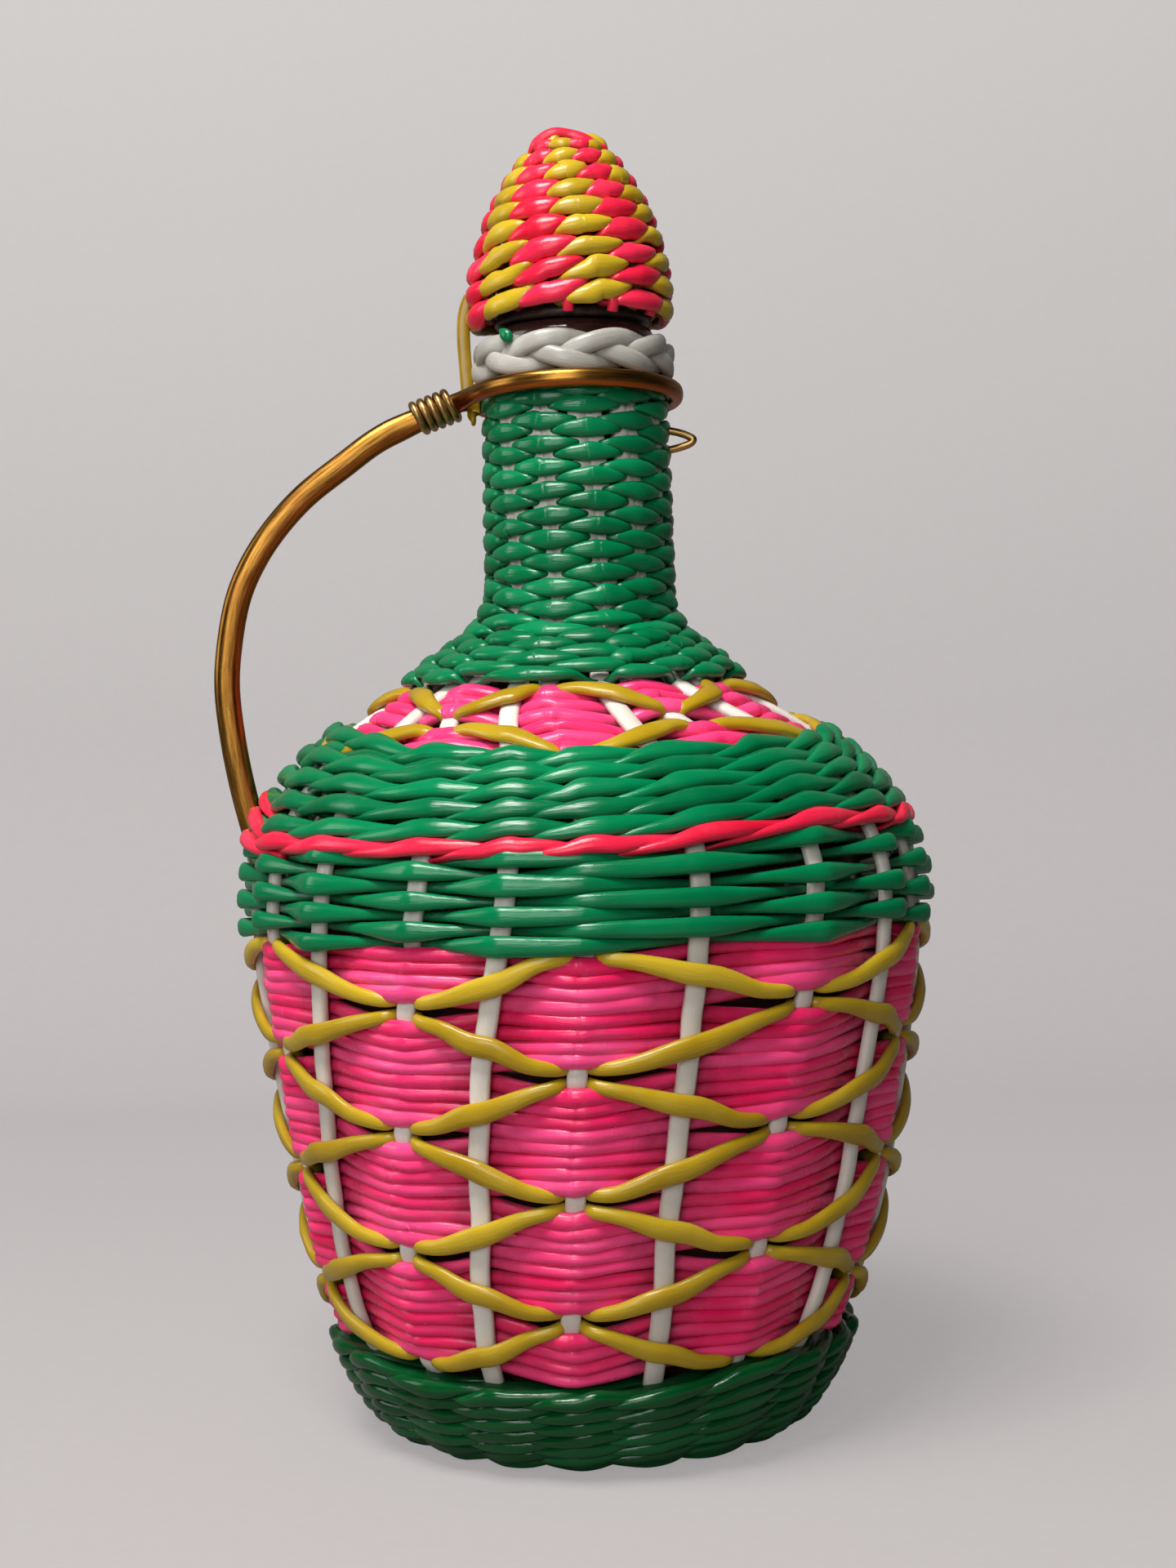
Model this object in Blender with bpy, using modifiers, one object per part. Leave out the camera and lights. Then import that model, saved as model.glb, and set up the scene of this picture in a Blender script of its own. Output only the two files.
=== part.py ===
# A two-litre glass carafe in a woven vinyl-cord cover, with a wire handle and a woven stopper.
# Metres, +Z up. The origin is the centre of the flat base. The front of the cover is towards -Y.

import math

import bmesh
import bpy
from mathutils import Vector

CLEARANCE = 0.0003  # between pieces that touch

# Glass bottle, outer surface
FOOT_RADIUS = 0.0360
HEEL_RADIUS = 0.0542
HEEL_RISE = 0.0182
BELLY_RADIUS = 0.0729
BELLY_HEIGHT = 0.1210
NECK_RADIUS = 0.0148
NECK_ROOT_HEIGHT = 0.1870
LIP_RADIUS = 0.0190
LIP_LENGTH = 0.0134
MOUTH_HEIGHT = 0.2545
MOUTH_BORE_RADIUS = 0.0106
GLASS_WALL = 0.0035
LIP_ROUND = 0.0012

# Shares of the way from heel to belly, and from belly to neck, as (radius, height)
HEEL_SHAPE = ((0.66, 0.32),)
SIDE_SHAPE = ((0.42, 0.25), (0.80, 0.66))
SHOULDER_SHAPE = ((0.94, 0.24), (0.74, 0.465), (0.36, 0.69), (0.10, 0.85))

# Woven cover
COVER_THICKNESS = 0.0080
WALE_THICKNESS = 0.0097
PANEL_THICKNESS = 0.0060
ROOT_COVER_THICKNESS = 0.0080
NECK_COVER_THICKNESS = 0.0072
MAT_THICKNESS = 0.0080
MAT_RADIUS = 0.0330
CORD_RELIEF = 0.0011  # how far a row of cord stands out of its band
TWINED_RELIEF = 0.0020  # the same on the neck, its root and the cap, where rows are beads of two strands
PANEL_RELIEF = 0.0036  # from a panel's crest down to the furrow that its stake lies in
PANEL_CORD_RELIEF = 0.0007
NODE_ROOM = 0.33  # share of a level's height that a panel's rows leave free at a node
BASE_RIM_RADIUS = 0.0435
BASE_ROUND_RADIUS = 0.0490
BASE_ROUND_HEIGHT = 0.0045

# How far each band of the cover reaches down the glass from the neck's root, one under the other
ROOT_BAND_DROP = 0.0215
SHOULDER_PANEL_DROP = 0.0145
UPPER_BAND_DROP = 0.0145
RED_ROW_DROP = 0.0035
LOWER_BAND_DROP = 0.0170
BASE_BAND_TOP = 0.0265  # the side's panel fills what is left above this height
ROOT_EASE = 0.0020  # the cover is straight from this far above the neck's root
BASE_ROWS = 6
PANEL_ROWS = 4  # between two levels of the lattice
LOWER_ROWS = 4
UPPER_ROWS = 4
ROOT_ROWS = 5
NECK_ROWS = 10

# Stakes and lattice cords
STAKE_COUNT = 24
FRONT_STAKE_ANGLES = (-70.5, -58.5, -47.0, -28.5, -16.0, -2.0, 16.5, 35.0, 54.0)
FIRST_FRONT_STAKE = -5
# Degrees that the stakes are pulled round, at shares of the way up from the base band to the root
STAKE_LEAN = ((0.0, -4.0), (0.27, -3.0), (0.47, 0.0), (0.63, 2.0), (0.795, 3.0), (0.98, -6.0))
STAKE_CORD_RADIUS = 0.0015
LATTICE_CORD_RADIUS = 0.0012
LATTICE_CORDS = 7
LATTICE_GATHER = 0.25  # share of a stake's spacing where two lattice cords run side by side

# Collar, handle and its fastenings
BRAID_HEIGHT = 0.0092
BRAID_THICKNESS = 0.0043
RING_DROP = 0.0160  # the ring lies this far below the mouth
RING_TILT = 0.0014  # the ring stands this much higher at the front than at the sides
WIRE_RADIUS = 0.0019
HANDLE_WIRE_RADIUS = 0.0027
BINDING_DISTANCE = 0.0326
BINDING_DROP = 0.0025
BINDING_SLOPE = 20.0
BINDING_LENGTH = 0.0112
BINDING_GRIP = 0.0007  # straight wire past each end of the binding
BINDING_TURNS = 5
BINDING_WIRE_RADIUS = 0.0007
HANDLE_REACH = 0.0831
HANDLE_WAIST_HEIGHT = 0.1725
HANDLE_FOOT_DEPTH = 0.0100  # the handle's foot lies this far below the red row
# Shares of the way from the binding to the waist, as (outwards, down)
HANDLE_SHAPE = ((0.48, 0.22), (0.68, 0.355), (0.82, 0.49), (0.91, 0.62), (0.965, 0.77))
HOOK_DROP = 0.0108  # the hook lies this far below the ring
HOOK_REACH = 0.0060
HOOK_GAP = 0.0040
HOOK_ANGLE = 87.0
HOOK_WIRE_RADIUS = 0.0007
TETHER_RADIUS = 0.0012
TETHER_RISE = 0.0045  # the strap stands this far above the mouth

# Stopper, in heights above the mouth
PLUG_DEPTH = 0.0150
PLUG_TAPER = 0.0008
PLUG_SOCKET_DEPTH = 0.0060
CAP_RADIUS = 0.0246
CAP_HEIGHT = 0.0455
CAP_RIM_HEIGHT = 0.0006
CAP_THICKNESS = 0.0062
CAP_ROWS = 12
CORE_FLANGE = 0.0020
# Shares of the cap's radius and height, from its rim to its top
CAP_SHAPE = (
    (0.985, 0.0), (1.0, 0.14), (0.995, 0.26), (0.965, 0.36), (0.91, 0.47), (0.83, 0.58),
    (0.74, 0.68), (0.645, 0.77), (0.53, 0.86), (0.40, 0.93), (0.22, 0.98),
)

BODY_STEPS = 36
NECK_STEPS = 24
CURVE_SAMPLES = 2

SHOULDER_PANEL_TOP = NECK_ROOT_HEIGHT - ROOT_BAND_DROP
SHOULDER_PANEL_LOW = SHOULDER_PANEL_TOP - SHOULDER_PANEL_DROP
RED_ROW_TOP = SHOULDER_PANEL_LOW - UPPER_BAND_DROP
RED_ROW_LOW = RED_ROW_TOP - RED_ROW_DROP
PANEL_TOP = RED_ROW_LOW - LOWER_BAND_DROP
RING_HEIGHT = MOUTH_HEIGHT - RING_DROP
HOOK_HEIGHT = RING_HEIGHT - HOOK_DROP
TETHER_TOP_HEIGHT = MOUTH_HEIGHT + TETHER_RISE
HANDLE_FOOT_HEIGHT = RED_ROW_LOW - HANDLE_FOOT_DEPTH
FOOT_HEIGHT = MAT_THICKNESS + CLEARANCE
HEEL_HEIGHT = FOOT_HEIGHT + HEEL_RISE
NECK_WEAVE_LOW = NECK_ROOT_HEIGHT + ROOT_EASE
NECK_TOP = MOUTH_HEIGHT - LIP_LENGTH - LIP_ROUND
RING_PATH_RADIUS = NECK_RADIUS + NECK_COVER_THICKNESS + CLEARANCE + WIRE_RADIUS
# A shell whose sides are chords between the stakes needs this much more room round the glass.
CHORD_ROOM = BELLY_RADIUS * (1 - math.cos(math.radians(6.0)))


def clear_scene():
    for obj in list(bpy.data.objects):
        bpy.data.objects.remove(obj)


def make_collection(name):
    collection = bpy.data.collections.new(name)
    bpy.context.scene.collection.children.link(collection)
    return collection


def make_material(name, colour, roughness, metallic=0.0):
    material = bpy.data.materials.new(name)
    material.use_nodes = True
    shader = material.node_tree.nodes["Principled BSDF"]
    shader.inputs["Base Color"].default_value = (*colour, 1.0)
    shader.inputs["Roughness"].default_value = roughness
    shader.inputs["Metallic"].default_value = metallic
    material.diffuse_color = (*colour, 1.0)
    return material


def make_group(name, collection, height=0.0):
    """An empty on the bottle's axis that carries one body's pieces."""
    group = bpy.data.objects.new(name, None)
    group.location = (0.0, 0.0, height)
    collection.objects.link(group)
    return group


def place(obj, group, material):
    obj.data.materials.append(material)
    group.users_collection[0].objects.link(obj)
    obj.parent = group
    return obj


def smooth_curve(stations, samples):
    """Points on a Catmull-Rom curve through the stations, with the stations kept."""
    points = []
    ends = [stations[0]] + list(stations) + [stations[-1]]
    for first, start, stop, last in zip(ends, ends[1:], ends[2:], ends[3:]):
        for step in range(samples):
            t = step / samples
            points.append(tuple(
                0.5 * (2 * b + (c - a) * t + (2 * a - 5 * b + 4 * c - d) * t ** 2
                       + (3 * b - a - 3 * c + d) * t ** 3)
                for a, b, c, d in zip(first, start, stop, last)
            ))
    points.append(tuple(stations[-1]))
    return points


def between(start, stop, share):
    return start + (stop - start) * share


def glass_side():
    """The glass's outer surface as (radius, height), from its foot up to its lip."""
    stations = [(FOOT_RADIUS, FOOT_HEIGHT)]
    for out, up in HEEL_SHAPE:
        radius = between(FOOT_RADIUS, HEEL_RADIUS, out)
        stations.append((radius, between(FOOT_HEIGHT, HEEL_HEIGHT, up)))
    stations.append((HEEL_RADIUS, HEEL_HEIGHT))
    for out, up in SIDE_SHAPE:
        radius = between(HEEL_RADIUS, BELLY_RADIUS, out)
        stations.append((radius, between(HEEL_HEIGHT, BELLY_HEIGHT, up)))
    stations.append((BELLY_RADIUS, BELLY_HEIGHT))
    for out, up in SHOULDER_SHAPE:
        radius = between(NECK_RADIUS, BELLY_RADIUS, out)
        stations.append((radius, between(BELLY_HEIGHT, NECK_ROOT_HEIGHT, up)))
    stations.append((NECK_RADIUS, NECK_ROOT_HEIGHT))
    neck = [(NECK_RADIUS, NECK_WEAVE_LOW), (NECK_RADIUS, NECK_TOP)]
    return smooth_curve(stations, CURVE_SAMPLES) + neck


class Outline:
    """The glass's side, which every piece of the cover is measured from."""

    def __init__(self, points):
        self.points = points
        self.normals = []
        for index in range(len(points)):
            before = points[max(index - 1, 0)]
            after = points[min(index + 1, len(points) - 1)]
            run, rise = after[0] - before[0], after[1] - before[1]
            size = math.hypot(run, rise)
            self.normals.append((rise / size, -run / size))

    def at(self, height, offset):
        """(radius, height) of the point that lies offset outside the glass where it has this height."""
        height = min(max(height, self.points[0][1]), self.points[-1][1])
        for index in range(len(self.points) - 1):
            low, high = self.points[index], self.points[index + 1]
            if height <= high[1]:
                break
        t = (height - low[1]) / (high[1] - low[1])
        normal = [between(a, b, t) for a, b in zip(self.normals[index], self.normals[index + 1])]
        return (between(low[0], high[0], t) + normal[0] * offset, height + normal[1] * offset)

    def heights(self, low, high):
        """The two heights, with those of the glass's own points between them."""
        margin = 0.3 * CLEARANCE
        return [low] + [z for _, z in self.points if low + margin < z < high - margin] + [high]


def turned(name, profile, steps, closed, group, material):
    """A profile of (radius, height) points, turned about the group's axis."""
    mesh = bpy.data.meshes.new(name)
    edges = [(i, i + 1) for i in range(len(profile) - 1)]
    if closed:
        edges.append((len(profile) - 1, 0))
    mesh.from_pydata([(radius, 0.0, height) for radius, height in profile], edges, [])
    obj = place(bpy.data.objects.new(name, mesh), group, material)
    screw = obj.modifiers.new("Turn", "SCREW")
    screw.steps = steps
    screw.render_steps = steps
    screw.use_merge_vertices = True
    screw.merge_threshold = 0.00001
    screw.use_smooth_shade = True
    return obj


def tube(name, points, radius, group, material, resolution=1, cyclic=False, radii=None):
    """A round cord or wire along the points."""
    curve = bpy.data.curves.new(name, "CURVE")
    curve.dimensions = "3D"
    curve.bevel_depth = radius
    curve.bevel_resolution = resolution
    curve.use_fill_caps = not cyclic
    spline = curve.splines.new("POLY")
    spline.points.add(len(points) - 1)
    for index, point in enumerate(points):
        spline.points[index].co = (*point, 1.0)
        spline.points[index].radius = radii[index] / radius if radii else 1.0
    spline.use_cyclic_u = cyclic
    spline.use_smooth = True
    return place(bpy.data.objects.new(name, curve), group, material)


def stake_lean(height):
    """How far the stakes are pulled round at this height, in degrees."""
    up = (height - BASE_BAND_TOP) / (SHOULDER_PANEL_TOP - BASE_BAND_TOP)
    if up <= STAKE_LEAN[0][0]:
        return STAKE_LEAN[0][1]
    for (low, start), (high, stop) in zip(STAKE_LEAN, STAKE_LEAN[1:]):
        if up <= high:
            return between(start, stop, (up - low) / (high - low))
    return STAKE_LEAN[-1][1]


def stake_angle(number, height):
    """Radians from the front towards +X; a number and a half lies midway between two stakes."""
    count = len(FRONT_STAKE_ANGLES)
    last = FIRST_FRONT_STAKE + count - 1
    back_step = (360.0 + FRONT_STAKE_ANGLES[0] - FRONT_STAKE_ANGLES[-1]) / (STAKE_COUNT - count + 1)
    turns, place_in_turn = divmod(number - FIRST_FRONT_STAKE, STAKE_COUNT)
    if place_in_turn >= count - 1:
        degrees = FRONT_STAKE_ANGLES[-1] + (place_in_turn + FIRST_FRONT_STAKE - last) * back_step
    else:
        index = int(place_in_turn)
        degrees = between(FRONT_STAKE_ANGLES[index], FRONT_STAKE_ANGLES[index + 1], place_in_turn - index)
    return math.radians(degrees + 360.0 * turns + stake_lean(height))


def round_point(radius, angle, height):
    return Vector((radius * math.sin(angle), -radius * math.cos(angle), height))


def cover_point(outline, number, height, offset):
    """The point at a stake, offset outside the glass."""
    radius, level = outline.at(height, offset)
    return round_point(radius, stake_angle(number, height), level)


def band(name, outline, low, high, rows, thickness, groove, steps, group, material):
    """A turned shell of the cover between two heights on the glass, with a ridge for each row of cord."""
    low += CLEARANCE / 2
    high -= CLEARANCE / 2
    inner = [outline.at(z, CLEARANCE) for z in outline.heights(low, high)]
    outer = []
    for row in range(rows):
        for share, relief in ((0.0, groove), (0.5, 0.0)):
            z = between(high, low, (row + share) / rows)
            outer.append(outline.at(z, thickness - relief))
    outer.append(outline.at(low, thickness - groove))
    return turned(name, outer + inner, steps, True, group, material)


def bunched(number, level, first_node):
    """The level where a row passes a stake: over a hidden stake the rows bunch together between its nodes."""
    side = math.cos(math.pi * number / 2)
    node = first_node if side > 0 else first_node + 1
    from_middle = (level - node) % 2 - 1
    at_node = abs(from_middle) > 0.999
    return level if at_node else level - abs(side) * from_middle * NODE_ROOM / 2


def panel(name, outline, low, high, levels, rows, first_node, group, material):
    """A fluted shell: crests over the stakes behind it, furrows for the stakes in front of it.

    A level has this many ridged rows across, or none. The lattice's nodes lie at every second level, from
    first_node at stake 0 and one level on at stake 2.
    """
    low += CLEARANCE / 2
    high -= CLEARANCE / 2
    bm = bmesh.new()
    inner_heights = outline.heights(low, high)
    steps = 2 * rows if rows else 1
    rings = []
    for column in range(2 * STAKE_COUNT):
        number = column / 2
        relief = PANEL_RELIEF * (0.5 - 0.5 * math.cos(math.pi * number))
        section = []
        for step in range(steps * levels, -1, -1):
            level = bunched(number, step / steps, first_node)
            groove = PANEL_CORD_RELIEF if rows and step % 2 == 0 else 0.0
            section.append((between(low, high, level / levels), PANEL_THICKNESS - relief - groove))
        section += [(z, CLEARANCE + CHORD_ROOM) for z in inner_heights]
        rings.append([bm.verts.new(cover_point(outline, number, z, offset)) for z, offset in section])
    for column, ring in enumerate(rings):
        following = rings[(column + 1) % len(rings)]
        for index in range(len(ring)):
            after = (index + 1) % len(ring)
            bm.faces.new((ring[index], ring[after], following[after], following[index]))
    bmesh.ops.recalc_face_normals(bm, faces=bm.faces)
    mesh = bpy.data.meshes.new(name)
    bm.to_mesh(mesh)
    bm.free()
    mesh.shade_smooth()
    return place(bpy.data.objects.new(name, mesh), group, material)


def glass_bottle(outline, group, material):
    lip_low = NECK_TOP + 2 * LIP_ROUND
    side = outline.points + [(LIP_RADIUS, lip_low)]
    side += [(LIP_RADIUS, MOUTH_HEIGHT - LIP_ROUND), (LIP_RADIUS - LIP_ROUND, MOUTH_HEIGHT)]
    bore = [(MOUTH_BORE_RADIUS, MOUTH_HEIGHT), (MOUTH_BORE_RADIUS, NECK_ROOT_HEIGHT)]
    inside = []
    under_neck = [z for _, z in outline.points if z < NECK_ROOT_HEIGHT - CLEARANCE]
    for z in under_neck[::-CURVE_SAMPLES]:
        radius, level = outline.at(z, -GLASS_WALL)
        if radius > MOUTH_BORE_RADIUS and level > FOOT_HEIGHT + GLASS_WALL:
            inside.append((radius, level))
    floor = [(FOOT_RADIUS - GLASS_WALL, FOOT_HEIGHT + GLASS_WALL), (0.0, FOOT_HEIGHT + GLASS_WALL)]
    profile = [(0.0, FOOT_HEIGHT)] + side + bore + inside + floor
    return turned("glass_bottle", profile[::-1], BODY_STEPS, False, group, material)


def base_mat(group, material):
    """The round woven mat that the bottle stands on, flat below."""
    profile = [(0.0, MAT_THICKNESS), (MAT_RADIUS, MAT_THICKNESS), (MAT_RADIUS, 0.0), (0.0, 0.0)]
    return turned("base_mat", profile, BODY_STEPS, False, group, material)


def base_band(outline, group, material):
    """The cover's foot: it closes round the mat, carries the heel and comes down to the ground."""
    high = BASE_BAND_TOP - CLEARANCE / 2
    outer = []
    for row in range(BASE_ROWS):
        for share, relief in ((0.0, CORD_RELIEF), (0.5, 0.0)):
            z = between(high, outline.points[1][1], (row + share) / BASE_ROWS)
            radius, level = outline.at(z, COVER_THICKNESS - relief)
            if level > BASE_ROUND_HEIGHT + CORD_RELIEF:
                outer.append((radius, level))
    outer += [(BASE_ROUND_RADIUS, BASE_ROUND_HEIGHT), (BASE_RIM_RADIUS, 0.0)]
    hole = [(MAT_RADIUS + CLEARANCE, 0.0), (MAT_RADIUS + CLEARANCE, FOOT_HEIGHT - CLEARANCE)]
    inner = [outline.at(z, CLEARANCE) for z in outline.heights(FOOT_HEIGHT, high)]
    return turned("base_wale_band", outer + hole + inner, BODY_STEPS, True, group, material)


def neck_weave(group, material):
    """The straight tube of weave round the neck, under the braided collar."""
    low = NECK_WEAVE_LOW + CLEARANCE / 2
    high = NECK_TOP - CLEARANCE
    outer = []
    for row in range(NECK_ROWS):
        for share, relief in ((0.0, TWINED_RELIEF), (0.5, 0.0)):
            down = (row + share) / NECK_ROWS
            thickness = between(NECK_COVER_THICKNESS, ROOT_COVER_THICKNESS, down)
            outer.append((NECK_RADIUS + thickness - relief, between(high, low, down)))
    outer.append((NECK_RADIUS + ROOT_COVER_THICKNESS - TWINED_RELIEF, low))
    seat = (NECK_RADIUS + CLEARANCE) / math.cos(math.pi / NECK_STEPS)
    return turned("neck_weave", outer + [(seat, low), (seat, high)], NECK_STEPS, True, group, material)


def neck_braid(group, material):
    """The plaited collar round the lip."""
    inner = LIP_RADIUS + 2 * CLEARANCE
    low = NECK_TOP + LIP_ROUND
    middle = (inner + BRAID_THICKNESS / 2, low + BRAID_HEIGHT / 2)
    section = []
    for step in range(8):
        turn = math.radians(90.0 - 45.0 * step)
        section.append((
            middle[0] + BRAID_THICKNESS / 2 * math.cos(turn),
            middle[1] + BRAID_HEIGHT / 2 * math.sin(turn),
        ))
    return turned("neck_braid", section, NECK_STEPS, True, group, material)


def outer_stakes(outline, group, material):
    """The stakes that show in front of the panels: every second one, on the side and on the shoulder."""
    offset = PANEL_THICKNESS - PANEL_RELIEF + CLEARANCE + STAKE_CORD_RADIUS
    runs = (
        ("side_stake", BASE_BAND_TOP, PANEL_TOP, 9),
        ("shoulder_stake", SHOULDER_PANEL_LOW, SHOULDER_PANEL_TOP, 4),
    )
    for prefix, low, high, count in runs:
        for index in range(STAKE_COUNT // 2):
            number = 2 * index + 1
            heights = [between(low + CLEARANCE, high - CLEARANCE, i / (count - 1)) for i in range(count)]
            points = [cover_point(outline, number, z, offset) for z in heights]
            tube(f"{prefix}_{index + 1:02d}", points, STAKE_CORD_RADIUS, group, material)


def lattice_cord(name, outline, low, high, low_on_even, group, material):
    """A closed zigzag cord: low and high by turns at the hidden stakes, over the front stakes between."""
    offset = PANEL_THICKNESS + 2 * CLEARANCE + LATTICE_CORD_RADIUS
    points = []
    for index in range(STAKE_COUNT // 2):
        at_low = (index % 2 == 0) == low_on_even
        level = low if at_low else high
        for number, z in (
            (2 * index - LATTICE_GATHER, level),
            (2 * index + LATTICE_GATHER, level),
            (2 * index + 1, (low + high) / 2),
        ):
            points.append(cover_point(outline, number, z, offset))
    return tube(name, points, LATTICE_CORD_RADIUS, group, material, resolution=0, cyclic=True)


def lattice(outline, group, material):
    """The zigzag cords that tie the panels, two side by side at each crossing."""
    gap = LATTICE_CORD_RADIUS + CLEARANCE
    low = BASE_BAND_TOP
    step = (PANEL_TOP - low) / LATTICE_CORDS
    for index in range(LATTICE_CORDS):
        bottom = low + index * step + gap
        lattice_cord(f"lattice_cord_{index + 1}", outline, bottom, bottom + step - 2 * gap,
                     index % 2 == 1, group, material)
    middle = (SHOULDER_PANEL_LOW + SHOULDER_PANEL_TOP) / 2
    for index, (bottom, top) in enumerate(((SHOULDER_PANEL_LOW, middle), (middle, SHOULDER_PANEL_TOP))):
        lattice_cord(f"shoulder_lattice_cord_{index + 1}", outline, bottom + gap, top - gap,
                     index % 2 == 0, group, material)


def ring_height(y):
    """The ring's height at this distance behind the axis: level across, higher at the front."""
    return RING_HEIGHT - RING_TILT * y / RING_PATH_RADIUS


def binding_frame():
    """The binding's middle, and unit vectors along it towards the neck and up across it."""
    slope = math.radians(BINDING_SLOPE)
    middle = Vector((-BINDING_DISTANCE, 0.0, RING_HEIGHT - BINDING_DROP))
    along = Vector((math.cos(slope), 0.0, math.sin(slope)))
    up = Vector((-math.sin(slope), 0.0, math.cos(slope)))
    return middle, along, up


def handle_arc():
    """The grip: from its foot, under the cover, out and up to the binding."""
    middle, along, _ = binding_frame()
    side = Vector((0.0, WIRE_RADIUS + CLEARANCE / 2, 0.0))
    reach = BINDING_LENGTH / 2 + BINDING_GRIP
    outer = middle - along * reach + side
    inner = middle + along * reach + side
    lead = outer - along * 0.3 * BINDING_LENGTH
    waist = Vector((-HANDLE_REACH, 0.0, HANDLE_WAIST_HEIGHT))
    under = CLEARANCE + CHORD_ROOM + HANDLE_WIRE_RADIUS
    entry_radius, entry = GLASS.at(RED_ROW_TOP, WALE_THICKNESS)
    low_radius, low = GLASS.at(between(RED_ROW_LOW, HANDLE_FOOT_HEIGHT, 0.4), under)
    foot_radius, foot = GLASS.at(HANDLE_FOOT_HEIGHT, under)
    stations = [tuple(outer), tuple(lead)]
    for out, down in HANDLE_SHAPE:
        x = between(outer.x, waist.x, out)
        stations.append((x, side.y * (1.0 - out), between(outer.z, waist.z, down)))
    stations.append(tuple(waist))
    stations.append((between(waist.x, -entry_radius, 0.38), 0.0, between(waist.z, entry, 0.55)))
    stations += [(-entry_radius, 0.0, entry), (-low_radius, 0.0, low), (-foot_radius, 0.0, foot)]
    return [inner] + [Vector(p) for p in smooth_curve(stations, 3)]


def handle_loop():
    """The lasso round the neck, between the two wires' straight ends in the binding."""
    middle, along, _ = binding_frame()
    start = middle + along * (BINDING_LENGTH / 2 + BINDING_GRIP)
    away = math.acos(RING_PATH_RADIUS / math.hypot(start.x, WIRE_RADIUS))
    count = 24
    points = []
    for step in range(count + 1):
        turn = between(math.pi - away, away - math.pi, step / count)
        x, y = RING_PATH_RADIUS * math.cos(turn), RING_PATH_RADIUS * math.sin(turn)
        points.append(Vector((x, y, ring_height(y))))
    return points


def handle_wire(group, material):
    """One wire: the grip, the lasso and the end that the binding ties back to the grip."""
    middle, along, _ = binding_frame()
    side = Vector((0.0, WIRE_RADIUS + CLEARANCE / 2, 0.0))
    arc = handle_arc()[::-1]
    reach = BINDING_LENGTH / 2 + BINDING_GRIP
    tail = [middle + along * reach - side, middle - along * reach - side]
    points = arc + handle_loop() + tail
    slim = len(arc) - 2  # the grip is down to the lasso's radius where the binding starts
    radii = [between(HANDLE_WIRE_RADIUS, WIRE_RADIUS, min(max((i - slim + 6) / 6, 0.0), 1.0))
             for i in range(len(points))]
    return tube("handle_wire", points, WIRE_RADIUS, group, material, resolution=2, radii=radii)


def handle_channel(collection):
    """The room for the grip's foot in the cover's bands: a cutter along the same route."""
    arc = handle_arc()
    foot = arc[-1] + (arc[-1] - arc[-2]).normalized() * CLEARANCE
    holder = make_group("channel_axis", collection)
    cutter = tube("handle_channel", arc[len(arc) // 2:] + [foot], HANDLE_WIRE_RADIUS + CLEARANCE, holder,
                  bpy.data.materials["gold_wire"], resolution=2)
    cutter = solid_mesh(cutter)
    cutter.hide_render = True
    cutter.display_type = "WIRE"
    return cutter


def solid_mesh(curve_object):
    """The curve object as a closed mesh object of the same name."""
    name = curve_object.name
    bpy.context.view_layer.update()
    evaluated = curve_object.evaluated_get(bpy.context.evaluated_depsgraph_get())
    mesh = bpy.data.meshes.new_from_object(evaluated)
    bm = bmesh.new()
    bm.from_mesh(mesh)
    bmesh.ops.remove_doubles(bm, verts=bm.verts, dist=0.00001)
    bm.to_mesh(mesh)
    bm.free()
    collection = curve_object.users_collection[0]
    matrix = curve_object.matrix_world.copy()
    bpy.data.objects.remove(curve_object)
    solid = bpy.data.objects.new(name, mesh)
    solid.matrix_world = matrix
    collection.objects.link(solid)
    return solid


def cut(obj, cutter):
    boolean = obj.modifiers.new(f"Cut {cutter.name}", "BOOLEAN")
    boolean.object = cutter
    boolean.operation = "DIFFERENCE"
    boolean.solver = "EXACT"


def handle_binding(group, material):
    """The thin wire wound round the grip's top and the lasso's end."""
    middle, along, up = binding_frame()
    across = Vector((0.0, 1.0, 0.0))
    high = WIRE_RADIUS + CLEARANCE + BINDING_WIRE_RADIUS
    half_flat = WIRE_RADIUS + CLEARANCE / 2
    steps = 16
    length = BINDING_LENGTH - 2 * BINDING_WIRE_RADIUS
    points = []
    for step in range(BINDING_TURNS * steps + 1):
        turn = 2 * math.pi * step / steps
        shift = length * (step / (BINDING_TURNS * steps) - 0.5)
        wide = high * math.cos(turn) + half_flat * math.tanh(3.0 * math.cos(turn))
        points.append(middle + along * shift + across * wide + up * high * 1.04 * math.sin(turn))
    gap = min(
        (points[i + steps] - points[i]).length for i in range(len(points) - steps)
    ) - 2 * BINDING_WIRE_RADIUS
    print(f"least gap between the turns of the binding: {1000 * gap:.2f} mm")
    return tube("handle_binding", points, BINDING_WIRE_RADIUS, group, material)


def wire_hook(group, material):
    """The hairpin end of the tie wire, standing out of the neck weave."""
    up_neck = (HOOK_HEIGHT - NECK_WEAVE_LOW) / (NECK_TOP - NECK_WEAVE_LOW)
    thickness = between(ROOT_COVER_THICKNESS, NECK_COVER_THICKNESS, up_neck)
    seat = NECK_RADIUS + thickness + CLEARANCE
    angle = math.radians(HOOK_ANGLE)
    stations = (
        (0.0, HOOK_GAP / 2), (0.45, 0.38 * HOOK_GAP), (0.85, 0.16 * HOOK_GAP), (1.0, -0.12 * HOOK_GAP),
        (0.8, -0.3 * HOOK_GAP), (0.4, -0.42 * HOOK_GAP), (0.0, -HOOK_GAP / 2),
    )
    points = [
        round_point(seat + HOOK_REACH * out, angle, HOOK_HEIGHT + rise)
        for out, rise in smooth_curve(stations, 1)
    ]
    return tube("wire_hook", points, HOOK_WIRE_RADIUS, group, material)


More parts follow.
